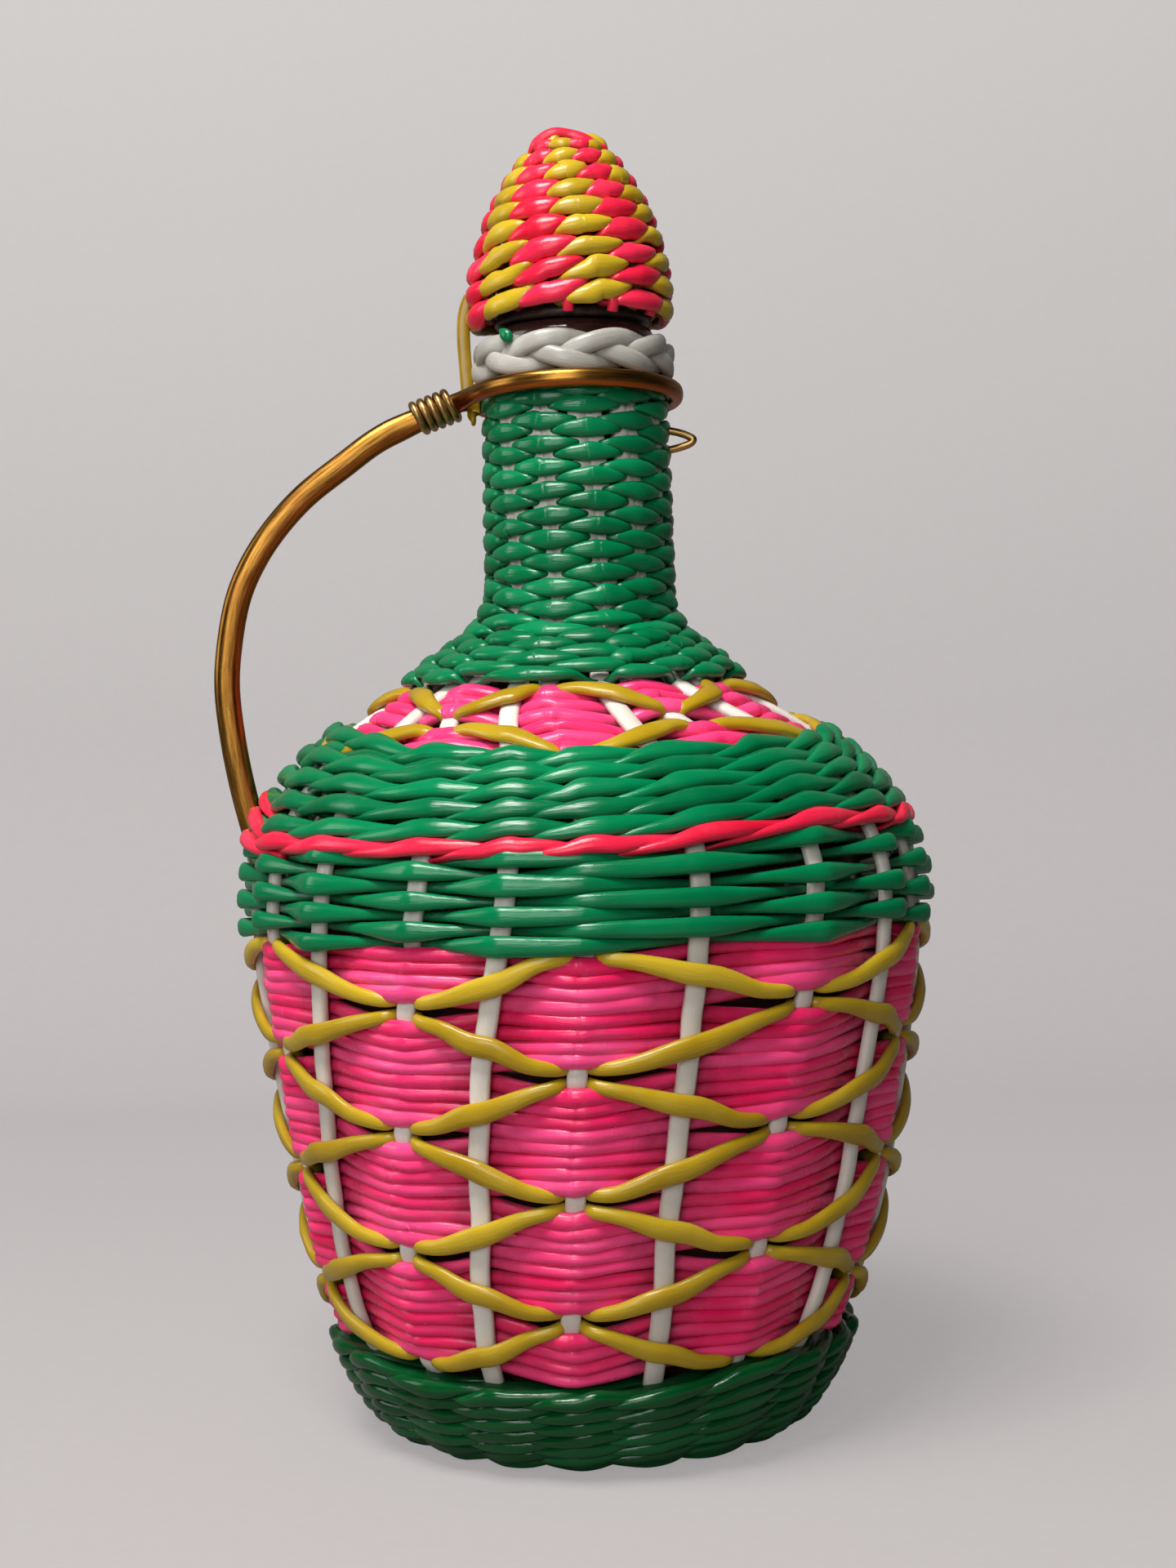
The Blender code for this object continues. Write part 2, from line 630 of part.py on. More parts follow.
def tether_cord(group, material):
    """The soft cord that keeps the stopper: from the cap's side, through the lasso, to under its wire."""
    middle, along, _ = binding_frame()
    crotch = between(RING_HEIGHT, (middle + along * BINDING_LENGTH * 0.5).z, 0.6)
    beside_cap = CAP_RADIUS + CLEARANCE + TETHER_RADIUS
    beside_braid = LIP_RADIUS + 2 * CLEARANCE + BRAID_THICKNESS + CLEARANCE + TETHER_RADIUS
    beside_neck = NECK_RADIUS + NECK_COVER_THICKNESS + CLEARANCE + TETHER_RADIUS
    under = WIRE_RADIUS + CLEARANCE + TETHER_RADIUS
    stations = (
        (-beside_cap, 0.0, TETHER_TOP_HEIGHT),
        (-beside_cap, 0.0, between(TETHER_TOP_HEIGHT, crotch, 0.35)),
        (-beside_braid, 0.0, NECK_TOP + CLEARANCE),
        (-beside_neck, 0.0, crotch + 0.5 * WIRE_RADIUS),
        (-beside_neck, 0.0, crotch - WIRE_RADIUS),
        (-beside_neck, -0.5 * under, crotch - 1.2 * under),
        (-beside_neck, -1.5 * under, crotch - 1.4 * under),
    )
    return tube("tether_cord", smooth_curve(stations, 2), TETHER_RADIUS, group, material)


def stopper_plug(group, material):
    """The tapered plug in the mouth, its head in the core's socket."""
    fit = MOUTH_BORE_RADIUS - 2 * CLEARANCE
    profile = [
        (0.0, PLUG_SOCKET_DEPTH - CLEARANCE), (fit - PLUG_TAPER, PLUG_SOCKET_DEPTH - CLEARANCE),
        (fit, 0.0), (fit, -0.2 * PLUG_DEPTH),
        (fit - PLUG_TAPER, -0.9 * PLUG_DEPTH), (fit - 2 * PLUG_TAPER, -PLUG_DEPTH), (0.0, -PLUG_DEPTH),
    ]
    return turned("stopper_plug", profile, NECK_STEPS, False, group, material)


def cap_outline(inset):
    """(radius, height) down the cap's outside, from its top to its rim, moved in by inset."""
    points = [(0.0, CAP_HEIGHT - inset)]
    for out, up in CAP_SHAPE[::-1]:
        height = between(CAP_RIM_HEIGHT, CAP_HEIGHT - inset, up)
        points.append(((CAP_RADIUS - inset) * out, height))
    return points


def stopper_core(group, material):
    """The dark former inside the cap, with a flange on the lip and a socket for the plug."""
    dome = cap_outline(CAP_THICKNESS + CLEARANCE)
    flange = LIP_RADIUS - LIP_ROUND
    socket = MOUTH_BORE_RADIUS
    profile = dome[:-2] + [
        (flange, CAP_RIM_HEIGHT + CORE_FLANGE), (flange, CLEARANCE), (socket, CLEARANCE),
        (socket, PLUG_SOCKET_DEPTH), (0.0, PLUG_SOCKET_DEPTH),
    ]
    return turned("stopper_core", profile, NECK_STEPS, False, group, material)


def cap_weave(group, material):
    """The woven dome over the core, with a ridge for each row of cord."""
    dome = [Vector(p) for p in smooth_curve(cap_outline(0.0), 4)]
    runs = [0.0]
    for before, after in zip(dome, dome[1:]):
        runs.append(runs[-1] + (after - before).length)
    ridged = []
    for step in range(2 * CAP_ROWS + 1):
        run = runs[-1] * step / (2 * CAP_ROWS)
        index = min(sum(mark < run for mark in runs[1:]), len(dome) - 2)
        low, high = dome[index], dome[index + 1]
        point = low.lerp(high, (run - runs[index]) / (runs[index + 1] - runs[index]))
        slope = (high - low).normalized()
        relief = TWINED_RELIEF if step % 2 == 0 and step else 0.0
        ridged.append(point + Vector((slope.y, -slope.x)) * relief)
    inner = cap_outline(CAP_THICKNESS)
    profile = [tuple(p) for p in ridged] + inner[::-1]
    return turned("cap_weave", profile, NECK_STEPS, False, group, material)


def build():
    clear_scene()
    collection = make_collection("wicker_carafe")
    bottle = make_group("bottle_axis", collection)
    stopper = make_group("stopper_axis", collection, MOUTH_HEIGHT)
    glass = make_material("dark_glass", (0.012, 0.02, 0.014), 0.06)
    green = make_material("green_cord", (0.0, 0.29, 0.12), 0.25)
    pink = make_material("pink_cord", (0.90, 0.07, 0.26), 0.3)
    red = make_material("red_cord", (0.85, 0.03, 0.06), 0.28)
    white = make_material("white_cord", (0.62, 0.58, 0.52), 0.35)
    olive = make_material("olive_cord", (0.52, 0.36, 0.04), 0.28)
    amber = make_material("amber_cord", (0.75, 0.52, 0.02), 0.2)
    gold = make_material("gold_wire", (0.75, 0.45, 0.12), 0.25, 1.0)
    dark = make_material("dark_core", (0.03, 0.022, 0.02), 0.4)
    cork = make_material("plug_cork", (0.42, 0.26, 0.13), 0.85)

    glass_bottle(GLASS, bottle, glass)
    base_mat(bottle, green)
    base_band(GLASS, bottle, green)
    panel("pink_panel_weave", GLASS, BASE_BAND_TOP, PANEL_TOP, LATTICE_CORDS, PANEL_ROWS, 1, bottle, pink)
    bands = (
        ("lower_green_band", PANEL_TOP, RED_ROW_LOW, LOWER_ROWS, COVER_THICKNESS, CORD_RELIEF, green),
        ("red_wale_row", RED_ROW_LOW, RED_ROW_TOP, 1, WALE_THICKNESS, CORD_RELIEF, red),
        ("upper_green_band", RED_ROW_TOP, SHOULDER_PANEL_LOW, UPPER_ROWS, WALE_THICKNESS, CORD_RELIEF, green),
        ("neck_root_weave", SHOULDER_PANEL_TOP, NECK_WEAVE_LOW, ROOT_ROWS, ROOT_COVER_THICKNESS, TWINED_RELIEF,
         green),
    )
    channel = handle_channel(make_collection("cutters"))
    for name, low, high, rows, thickness, groove, material in bands:
        shell = band(name, GLASS, low, high, rows, thickness, groove, BODY_STEPS, bottle, material)
        if low >= PANEL_TOP and high <= SHOULDER_PANEL_LOW:
            cut(shell, channel)
    panel("shoulder_panel_weave", GLASS, SHOULDER_PANEL_LOW, SHOULDER_PANEL_TOP, 2, 0, 0, bottle, pink)
    neck_weave(bottle, green)
    neck_braid(bottle, white)
    outer_stakes(GLASS, bottle, white)
    lattice(GLASS, bottle, olive)
    handle_wire(bottle, gold)
    handle_binding(bottle, gold)
    wire_hook(bottle, gold)
    tether_cord(bottle, amber)
    stopper_plug(stopper, cork)
    stopper_core(stopper, dark)
    cap_weave(stopper, red)


GLASS = Outline(glass_side())
build()
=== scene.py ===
import math

import bpy
import numpy as np
from mathutils import Matrix, Vector


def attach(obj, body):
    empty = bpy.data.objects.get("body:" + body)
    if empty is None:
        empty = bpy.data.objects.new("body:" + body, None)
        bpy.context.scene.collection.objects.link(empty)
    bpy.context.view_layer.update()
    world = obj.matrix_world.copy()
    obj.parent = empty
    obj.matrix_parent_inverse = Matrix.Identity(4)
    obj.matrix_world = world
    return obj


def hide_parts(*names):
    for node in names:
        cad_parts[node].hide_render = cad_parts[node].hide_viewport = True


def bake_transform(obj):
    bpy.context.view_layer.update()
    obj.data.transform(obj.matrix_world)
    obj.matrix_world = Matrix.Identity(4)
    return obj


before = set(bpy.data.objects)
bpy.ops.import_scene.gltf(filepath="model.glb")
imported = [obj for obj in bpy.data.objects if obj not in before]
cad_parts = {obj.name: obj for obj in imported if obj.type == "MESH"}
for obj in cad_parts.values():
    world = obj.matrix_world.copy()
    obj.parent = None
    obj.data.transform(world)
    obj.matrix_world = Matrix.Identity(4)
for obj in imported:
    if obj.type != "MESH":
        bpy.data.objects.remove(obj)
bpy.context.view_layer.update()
print("frame loaded")

# Everything below is in millimetres and degrees until a mesh is made
metresPerMillimetre = 0.001
chance = np.random.default_rng(24)


def unit(vectors):
    return vectors / np.linalg.norm(vectors, axis=-1, keepdims=True)


def joined(*columns):
    # Lays the columns side by side along a last axis, each spread to the shape of all
    return np.stack(np.broadcast_arrays(*columns), axis=-1)


def smoothStep(low, high, value):
    # 3t^2 - 2t^3 for t going from 0 at low to 1 at high
    t = np.clip((value - low) / (high - low), 0, 1)
    return t * t * (3 - 2 * t)


def tipShare(count, low, high):
    # The smooth step inwards from each end of a row of points
    step = np.arange(count)
    return smoothStep(low, high, np.minimum(step, step[::-1]))


def evened(values, window):
    # Running mean, with the end values held
    padded = np.pad(values, window // 2, mode="edge")
    return np.convolve(padded, np.ones(window) / window, mode="valid")


def ringed(radius, turn, height):
    # A place round the axis: (radius * sin turn, -radius * cos turn, height), the turn in radians from the
    # front (-Y) towards the right (+X)
    return joined(radius * np.sin(turn), -radius * np.cos(turn), height)


def runLength(radii, heights):
    # Length along an outline up to each of its points
    return np.concatenate([[0], np.cumsum(np.hypot(np.diff(radii), np.diff(heights)))])


def facing(turn):
    # The same direction as a turn between -180 and 180
    return (turn + 180) % 360 - 180


# Where the stakes and the cap's columns stand, in degrees from the front towards the right
stakes = {
    "count": 24,
    "frontFirst": -5,
    "heights": (28, 60, 95, 130),
    "frontTurns": (
        (-86, -74, -59, -38.8, -22.5, -4.5, 13, 32, 52),
        (-83, -70, -56.5, -36, -20.8, -3.7, 12.6, 31, 52.2),
        (-80, -65.5, -51, -32, -17.5, -2.3, 16, 35.6, 55),
        (-80, -64, -46.5, -26.2, -11.3, 1, 18.5, 40, 59.5),
    ),
    "gatherHeights": (146, 170),
    "pairGap": 10.8,
    "neckHeights": (187, 236),
    "neckLean": (-14, -24.5),
    "panelHeight": 80,
    "bandHeight": 130,
}
stakeCount = stakes["count"]
behind = stakeCount - len(stakes["frontTurns"][0]) + 1
stakeHeights = np.arange(16, 143, 2)
stakeTurns = np.array([
    np.concatenate([turns, np.linspace(turns[-1], turns[0] + 360, behind + 1)[1:]])
    for turns in stakes["frontTurns"]
])
stakeTurns = np.array([
    evened(np.interp(stakeHeights, stakes["heights"], turns), 17) for turns in stakeTurns.T
])


def stakeTurn(stake, height):
    # The body's turn is read between the tables; up the neck the stakes gather into twelve even pairs,
    # and the two rules blend over the shoulder
    lap = np.floor((stake - stakes["frontFirst"]) / stakeCount)
    column = stake - stakes["frontFirst"] - lap * stakeCount
    level = np.interp(height, stakeHeights, np.arange(len(stakeHeights)))
    k = np.minimum(column.astype(int), stakeCount - 1)
    row = np.minimum(level.astype(int), len(stakeHeights) - 2)
    across, up = column - k, level - row
    lower, upper = (
        stakeTurns[k, i] + across * (stakeTurns[k + 1, i] - stakeTurns[k, i]) for i in (row, row + 1)
    )
    body = lower + up * (upper - lower) + 360 * lap
    pair = np.floor((stake + 1) / 2)
    share = 2 * ((stake + 1) / 2 - pair)
    half = stakes["pairGap"] / 2
    inPair = -half + 2 * half * np.minimum(share, 1) + (30 - 2 * half) * np.maximum(share - 1, 0)
    neck = 30 * pair + inPair + np.interp(height, stakes["neckHeights"], stakes["neckLean"])
    return body + (neck - body) * smoothStep(*stakes["gatherHeights"], height)


capLean = {
    "heights": (256, 262, 271, 281, 292, 298),
    "turns": (19, 16.7, 12.4, 4.7, -5, -12),
}


def capTurn(column, height):
    # The cap's twelve columns lean over towards the top
    return 30 * column + np.interp(height, capLean["heights"], capLean["turns"])


# The cover isn't quite round: how far its middle lies to the right of the bottle's at each height
coverLean = {
    "heights": (0, 30, 60, 130, 145, 155, 170, 182, 195, 238, 244),
    "right": (-1, -1, 0, -0.3, -1.2, -2, -2.2, -1, 0.3, 0.3, 0),
}


class Cover:
    # A turned surface that cords lie on. A mark says how far along its outline, an offset how far out of it.
    # "around" columns stand round it, and turnAt(column, height) says where. The height is the glass's, which
    # lies "depth" inside the outline.
    def __init__(self, marks, radii, heights, around, turnAt, depth=0):
        self.marks, self.radii, self.heights, self.depth = marks, radii, heights, depth
        self.around, self.turnAt = around, turnAt
        rise, run = np.gradient(heights, marks), np.gradient(radii, marks)
        size = np.hypot(rise, run)
        self.outRadius, self.outHeight = rise / size, -run / size

    def at(self, mark, offset):
        # outline point + offset * the outline's outward normal, and that normal
        leanOut = np.interp(mark, self.marks, self.outRadius)
        leanUp = np.interp(mark, self.marks, self.outHeight)
        radius = np.interp(mark, self.marks, self.radii) + offset * leanOut
        height = np.interp(mark, self.marks, self.heights) + offset * leanUp
        return radius, height, leanOut, leanUp

    def place(self, turn, mark, offset):
        # The turn is in degrees
        radius, height, leanOut, leanUp = self.at(mark, offset)
        lean = np.interp(height, coverLean["heights"], coverLean["right"])
        points = ringed(radius, np.radians(turn), height) + joined(lean, 0, 0)
        return points, unit(ringed(leanOut, np.radians(turn), leanUp))

    def turn(self, column, mark):
        return self.turnAt(column, self.at(mark, -self.depth)[1])

    def spaced(self, low, high, count, offset):
        # Marks at equal lengths along the outline moved out by offset
        fine = np.linspace(low, high, 400)
        run = runLength(*self.at(fine, offset)[:2])
        return np.interp(np.linspace(0, run[-1], count), run, fine)


# The outlines of glass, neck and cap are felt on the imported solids


def outermost(nodeName, scale, read):
    # Cuts each edge of a turned node at the marks of a scale, and keeps the farthest cut at each mark
    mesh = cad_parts[nodeName].data
    places = np.empty(len(mesh.vertices) * 3)
    mesh.vertices.foreach_get("co", places)
    places = places.reshape(-1, 3) / metresPerMillimetre
    ends = np.empty(len(mesh.edges) * 2, dtype=np.int64)
    mesh.edges.foreach_get("vertices", ends)
    first, last = ends.reshape(-1, 2).T
    along, far = read(np.hypot(places[:, 0], places[:, 1]), places[:, 2])
    span = along[last] - along[first]
    least = 1e-6  # an edge that lies level is cut as if it rose this much
    share = (scale[:, None] - along[first]) / np.where(np.abs(span) < least, least, span)
    cut = far[first] + share * (far[last] - far[first])
    return np.where((share >= 0) & (share <= 1), cut, 0).max(axis=1)


def byHeight(radius, height):
    return height, radius


def byRay(radius, height):
    # As seen from the cap's centre: the ray's angle up, and the distance along it
    return np.arctan2(height - capCentre, radius), np.hypot(radius, height - capCentre)


glassLow, glassHigh = 8.5, 239.5
glassMarks = np.arange(glassLow, glassHigh + 0.5, 1)
glassRadii = evened(outermost("glass_bottle", glassMarks, byHeight), 5)
bottleSide = Cover(glassMarks, glassRadii, glassMarks, stakeCount, stakeTurn)

# The neck's outline lies "swell" out of the solids', and its flare starts a little higher than theirs
neckShape = {
    "low": 168.5, "high": 239.6, "step": 0.5, "swell": 1, "depth": 7.7,
    "lift": 2.6, "liftFrom": (164, 178), "liftTo": (190, 216),
}
neckHeights = np.arange(neckShape["low"], neckShape["high"], neckShape["step"])
neckRadii = [outermost(node, neckHeights, byHeight) for node in ("neck_root_weave", "neck_weave")]
neckRadii, neckHeights = evened(np.maximum(*neckRadii), 11) + neckShape["swell"], evened(neckHeights, 11)
neckLift = neckShape["lift"] * smoothStep(*neckShape["liftFrom"], neckHeights)
neckHeights = neckHeights + neckLift * (1 - smoothStep(*neckShape["liftTo"], neckHeights))
neckSide = Cover(
    runLength(neckRadii, neckHeights), neckRadii, neckHeights, stakeCount, stakeTurn, neckShape["depth"]
)

capCentre = 262
capRays = np.radians(np.linspace(-16, 89.5, 90))
capReach = evened(outermost("cap_weave", capRays, byRay), 7)
capRadii, capHeights = capReach * np.cos(capRays), capCentre + capReach * np.sin(capRays)
capSide = Cover(runLength(capRadii, capHeights), capRadii, capHeights, 12, capTurn)

# The base's front cords run from under the mat's edge, round the rim and up the heel, as (radius, height)
heelOutline = np.array([
    (10, 2.1), (38, 2.1), (45, 2.2), (49, 3.3), (51.8, 5.7),
    (54.9, 10), (57.6, 15), (59.8, 20), (61.8, 25.5), (63, 30),
])
heelRun = runLength(*heelOutline.T)
heelFine = np.linspace(0, heelRun[-1], 120)
heelRadii, heelHeights = (evened(np.interp(heelFine, heelRun, column), 9) for column in heelOutline.T)
heel = Cover(heelFine, heelRadii, heelHeights, stakeCount, stakeTurn)
print(f"outlines felt: bottle {glassRadii.max():.1f} mm, cap {capRadii.max():.1f} mm wide")

# Cords


def threaded(rows, samples, around=0):
    # Catmull-Rom curve through the knots, all columns at once; a closed cord comes back "around" stakes on
    if around:
        shift = np.zeros(rows.shape[1])
        shift[0] = around
        padded = np.vstack([rows[-1:] - shift, rows, rows[:2] + shift])
    else:
        padded = np.vstack([2 * rows[:1] - rows[1:2], rows, 2 * rows[-1:] - rows[-2:-1]])
    a, b, c, d = (padded[i:len(padded) - 3 + i, None, :] for i in range(4))
    t = (np.arange(samples) / samples)[None, :, None]
    squared, cubed = (2 * a - 5 * b + 4 * c - d) * t ** 2, (3 * b - a - 3 * c + d) * t ** 3
    curve = (0.5 * (2 * b + (c - a) * t + squared + cubed)).reshape(-1, rows.shape[1])
    return curve if around else np.vstack([curve, rows[-1:]])


def roundedSection(sides, square):
    # (cos^square, sin^square) with the signs kept: an oval for 1, a rounded box below it
    turn = 2 * np.pi * (np.arange(sides) + 0.5) / sides
    flat, tall = np.cos(turn), np.sin(turn)
    return np.sign(flat) * np.abs(flat) ** square, np.sign(tall) * np.abs(tall) ** square


class Basket:
    # Gathers the skins of one piece's cords, then makes them one mesh with its attributes:
    # lie = (length along the cord, sideways, upwards in its section), deep = how far down in the weave,
    # tint = one random number for each cord.
    def __init__(self):
        self.skins, self.count = [], 0

    def skin(self, path, outward, wide, thick, section, closed=False, deep=0, roll=0):
        # Each ring is the section laid across the path: sideways * wide, upwards * thick, turned by roll.
        # The path's direction is its central difference, sideways = outward x direction.
        flat, tall = section
        count, sides = len(path), len(flat)
        ahead = np.roll(path, -1, axis=0) - np.roll(path, 1, axis=0) if closed else np.gradient(path, axis=0)
        direction = unit(ahead)
        across = unit(np.cross(outward, direction))
        above = np.cross(direction, across)
        turn = np.radians(np.broadcast_to(roll, count))[:, None]
        sideways = np.broadcast_to(wide, count)[:, None] * flat
        upwards = np.broadcast_to(thick, count)[:, None] * tall
        rolledSide = sideways * np.cos(turn) - upwards * np.sin(turn)
        rolledUp = sideways * np.sin(turn) + upwards * np.cos(turn)
        rings = path[:, None] + across[:, None] * rolledSide[..., None] + above[:, None] * rolledUp[..., None]
        last = count if closed else count - 1
        i, j = np.meshgrid(np.arange(last), np.arange(sides), indexing="ij")
        nextRing, nextSide = (i + 1) % count, (j + 1) % sides
        quads = joined(i * sides + j, i * sides + nextSide, nextRing * sides + nextSide, nextRing * sides + j)
        corners, sizes = quads.ravel(), np.full(last * sides, 4)
        if not closed:
            ring = np.arange(sides)
            corners = np.concatenate([corners, ring[::-1], (count - 1) * sides + ring])
            sizes = np.concatenate([sizes, [sides, sides]])
        length = np.concatenate([[0], np.cumsum(np.linalg.norm(np.diff(path, axis=0), axis=1))])
        lie = joined(length[:, None], flat, tall).reshape(-1, 3)
        # deep also grows on the lower side of each section, where grime and painted shade are laid
        depth = np.broadcast_to(deep, count)[:, None] * 0.7 + 0.3 * (0.5 - 0.5 * tall)
        tint = np.full(count * sides, chance.random())
        self.skins.append((rings.reshape(-1, 3), corners + self.count, sizes, lie, depth.ravel(), tint))
        self.count += count * sides

    def lay(self, cover, rows, samples, around=0, sides=12, square=0.85):
        # Threads a cord through its knots and skins it on the cover. A knot is a stake, a mark, an offset, a
        # width and a thickness, and how far the cord rolls if it does
        rows = threaded(rows.reshape(-1, rows.shape[-1]), samples, around)
        stake, mark, offset, wide, thick, *roll = rows.T
        points, outward = cover.place(cover.turn(stake, mark), mark, offset)
        if not around:
            tip = tipShare(len(stake), -1, 3)
            wide, thick = wide * tip, thick * tip
        deep = (offset.max() - offset) / max(np.ptp(offset), 1)
        self.skin(points, outward, wide, thick, roundedSection(sides, square), bool(around), deep, *roll)

    def make(self, name, slot, nodes, finish, body="bottle"):
        points, corners, sizes, lie, deep, tint = (np.concatenate(parts) for parts in zip(*self.skins))
        piece = makeMesh(name, points, corners, sizes, lie=lie, deep=deep, tint=tint)
        return setPiece(piece, body, nodes, finish)


def makeMesh(name, points, corners, sizes, **attributes):
    mesh = bpy.data.meshes.new(name)
    mesh.vertices.add(len(points))
    mesh.vertices.foreach_set("co", (points * metresPerMillimetre).astype(np.float32).ravel())
    mesh.loops.add(len(corners))
    mesh.loops.foreach_set("vertex_index", corners.astype(np.int32))
    mesh.polygons.add(len(sizes))
    mesh.polygons.foreach_set("loop_start", np.concatenate([[0], np.cumsum(sizes)[:-1]]).astype(np.int32))
    mesh.update(calc_edges=True)
    mesh.shade_smooth()
    for key, values in attributes.items():
        kind, field = ("FLOAT_VECTOR", "vector") if values.ndim > 1 else ("FLOAT", "value")
        layer = mesh.attributes.new(key, kind, "POINT")
        layer.data.foreach_set(field, values.astype(np.float32).ravel())
    piece = bpy.data.objects.new(name, mesh)
    bpy.context.scene.collection.objects.link(piece)
    return piece


def setPiece(piece, body, nodes, finish):
    # Gives a piece its finish and its body, and hides the nodes that it stands for
    piece.data.materials.append(finish)
    if body:
        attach(piece, body)
    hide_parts(*nodes)
    print(f"{piece.name}: {len(piece.data.loops) - 2 * len(piece.data.polygons)} triangles")
    return piece


def lathe(name, outline, steps, body, nodes, finish):
    # Carries the outline round the axis. It starts and ends on the axis, in a pole.
    radius, height = np.asarray(outline, dtype=float).T[:, :, None]
    rings = ringed(radius, 2 * np.pi * np.arange(steps) / steps, height)
    onAxis = radius[:, 0] < 1e-6
    widths = np.where(onAxis, 1, steps)
    points = np.vstack([ring[:width] for ring, width in zip(rings, widths)])
    starts = np.concatenate([[0], np.cumsum(widths)[:-1]])
    spots = starts[:, None] + np.arange(steps) * ~onAxis[:, None]
    corners, sizes = [], []
    for low in range(len(spots) - 1):
        quads = joined(spots[low], np.roll(spots[low], -1), np.roll(spots[low + 1], -1), spots[low + 1])
        faces = quads[:, int(onAxis[low]):4 - int(onAxis[low + 1])]
        corners.append(faces.ravel())
        sizes.append(np.full(steps, faces.shape[1]))
    piece = makeMesh(name, points, np.concatenate(corners), np.concatenate(sizes))
    return setPiece(piece, body, nodes, finish)


# Finishes


def paint(red, green, blue):
    # A colour as seen on a screen (0 to 255) in the linear numbers that shaders take
    share = np.array([red, green, blue]) / 255
    linear = np.where(share <= 0.04045, share / 12.92, ((share + 0.055) / 1.055) ** 2.4)
    return (*linear, 1)


class Flow:
    # A node's output in a sum: an expression on flows adds its Math nodes
    def __init__(self, finish, socket):
        self.finish, self.socket = finish, socket

    def sum(self, operation, first, second):
        return self.finish.add("Math", {0: first, 1: second}, operation=operation)

    def __add__(self, other):
        return self.sum("ADD", self, other)

    def __radd__(self, other):
        return self.sum("ADD", other, self)

    def __sub__(self, other):
        return self.sum("SUBTRACT", self, other)

    def __rsub__(self, other):
        return self.sum("SUBTRACT", other, self)

    def __mul__(self, other):
        return self.sum("MULTIPLY", self, other)

    def __rmul__(self, other):
        return self.sum("MULTIPLY", other, self)


class Finish:
    # A material in the making: its Principled shader and the nodes that feed it
    def __init__(self, name):
        self.material = bpy.data.materials.new(name)
        self.material.use_nodes = True
        self.tree = self.material.node_tree
        self.tree.nodes.clear()
        self.shader = self.tree.nodes.new("ShaderNodeBsdfPrincipled")
        output = self.tree.nodes.new("ShaderNodeOutputMaterial")
        self.tree.links.new(self.shader.outputs[0], output.inputs[0])

    def add(self, kind, values, output=0, **settings):
        # Adds a node: its settings first, then the values or flows of its sockets
        node = self.tree.nodes.new("ShaderNode" + kind)
        for key, value in settings.items():
            setattr(node, key, value)
        for key, value in values.items():
            self.feed(node.inputs[key], value)
        return Flow(self, node.outputs[output])

    def feed(self, socket, value):
        if isinstance(value, Flow):
            self.tree.links.new(value.socket, socket)
        else:
            socket.default_value = value

    def set(self, **values):
        for key, value in values.items():
            self.feed(self.shader.inputs[key.replace("_", " ")], value)

    def clamped(self, value, low, high):
        # 0 below low, 1 above high, straight between
        return self.add("MapRange", {"Value": value, "From Min": low, "From Max": high})

    def mixed(self, share, first, second):
        # A colour is a flow, or three numbers for the screen
        first, second = (colour if isinstance(colour, Flow) else paint(*colour) for colour in (first, second))
        return self.add("Mix", {"Factor": share, 6: first, 7: second}, 2, data_type="RGBA")

    def attribute(self, name, output):
        return self.add("Attribute", {}, output, attribute_name=name)

    def inPlace(self):
        return self.add("TexCoord", {}, "Object")

    def along(self, vector, axis):
        return self.add("SeparateXYZ", {"Vector": vector}, axis)

    def noise(self, where, scale, detail=3, roughness=0.5):
        sockets = {"Vector": where, "Scale": scale, "Detail": detail, "Roughness": roughness}
        return self.add("TexNoise", sockets)

    def stretched(self, where, scale):
        return self.add("Mapping", {"Vector": where, "Scale": scale})

    def bump(self, height, strength, distance):
        return self.add("Bump", {"Height": height, "Strength": strength, "Distance": distance})


def vinylCord(name, dark, light, dusty, grimyAndShaded, dustShare, rimShare, grimeAndShadeShare, roughness, dents):
    # Drawn vinyl: its colour drifts a little along and between cords, grime and painted shade darken it where
    # the cords go down into the weave and on the lower side of each section, dust lightens the tops and
    # edges, and fine lines run along the cord
    finish = Finish(name)
    place = finish.inPlace()
    deep, tint = finish.attribute("deep", "Fac"), finish.attribute("tint", "Fac")
    lie = finish.attribute("lie", "Vector")
    drift = finish.noise(place, 55)
    patch = finish.noise(place, 210, 5, 0.65)
    lines = finish.noise(finish.stretched(lie, (0.12, 2.2, 2.2)), 2.4)
    colour = finish.mixed(finish.clamped(drift * 0.75 + tint * 0.45, 0.3, 0.85), dark, light)
    dust = finish.clamped(patch * 0.8 + drift * 0.5 - deep * 0.55, 0.62, 0.95) * dustShare
    edge = 1 - finish.clamped(finish.along(lie, "Z"), 0.1, 0.6)  # where the section's height is low
    rim = edge * finish.clamped(patch * 0.7 + drift * 0.5, 0.45, 0.75) * rimShare
    # Grime and painted shade: darker deep in the weave and on the lower side of each section
    grimeAndShade = finish.clamped(deep * 0.85 + patch * 0.55, 0.62, 1.05) * grimeAndShadeShare
    for share, stain in ((dust, dusty), (rim, dusty), (grimeAndShade, grimyAndShaded)):
        colour = finish.mixed(share, colour, stain)
    finish.set(
        Base_Color=colour,
        Roughness=grimeAndShade * 0.35 + patch * 0.16 + dust * 0.2 + roughness,
        Specular_IOR_Level=0.42,
        Normal=finish.bump(lines * 0.6 + patch * 0.4, dents, 0.0004),
    )
    return finish.material
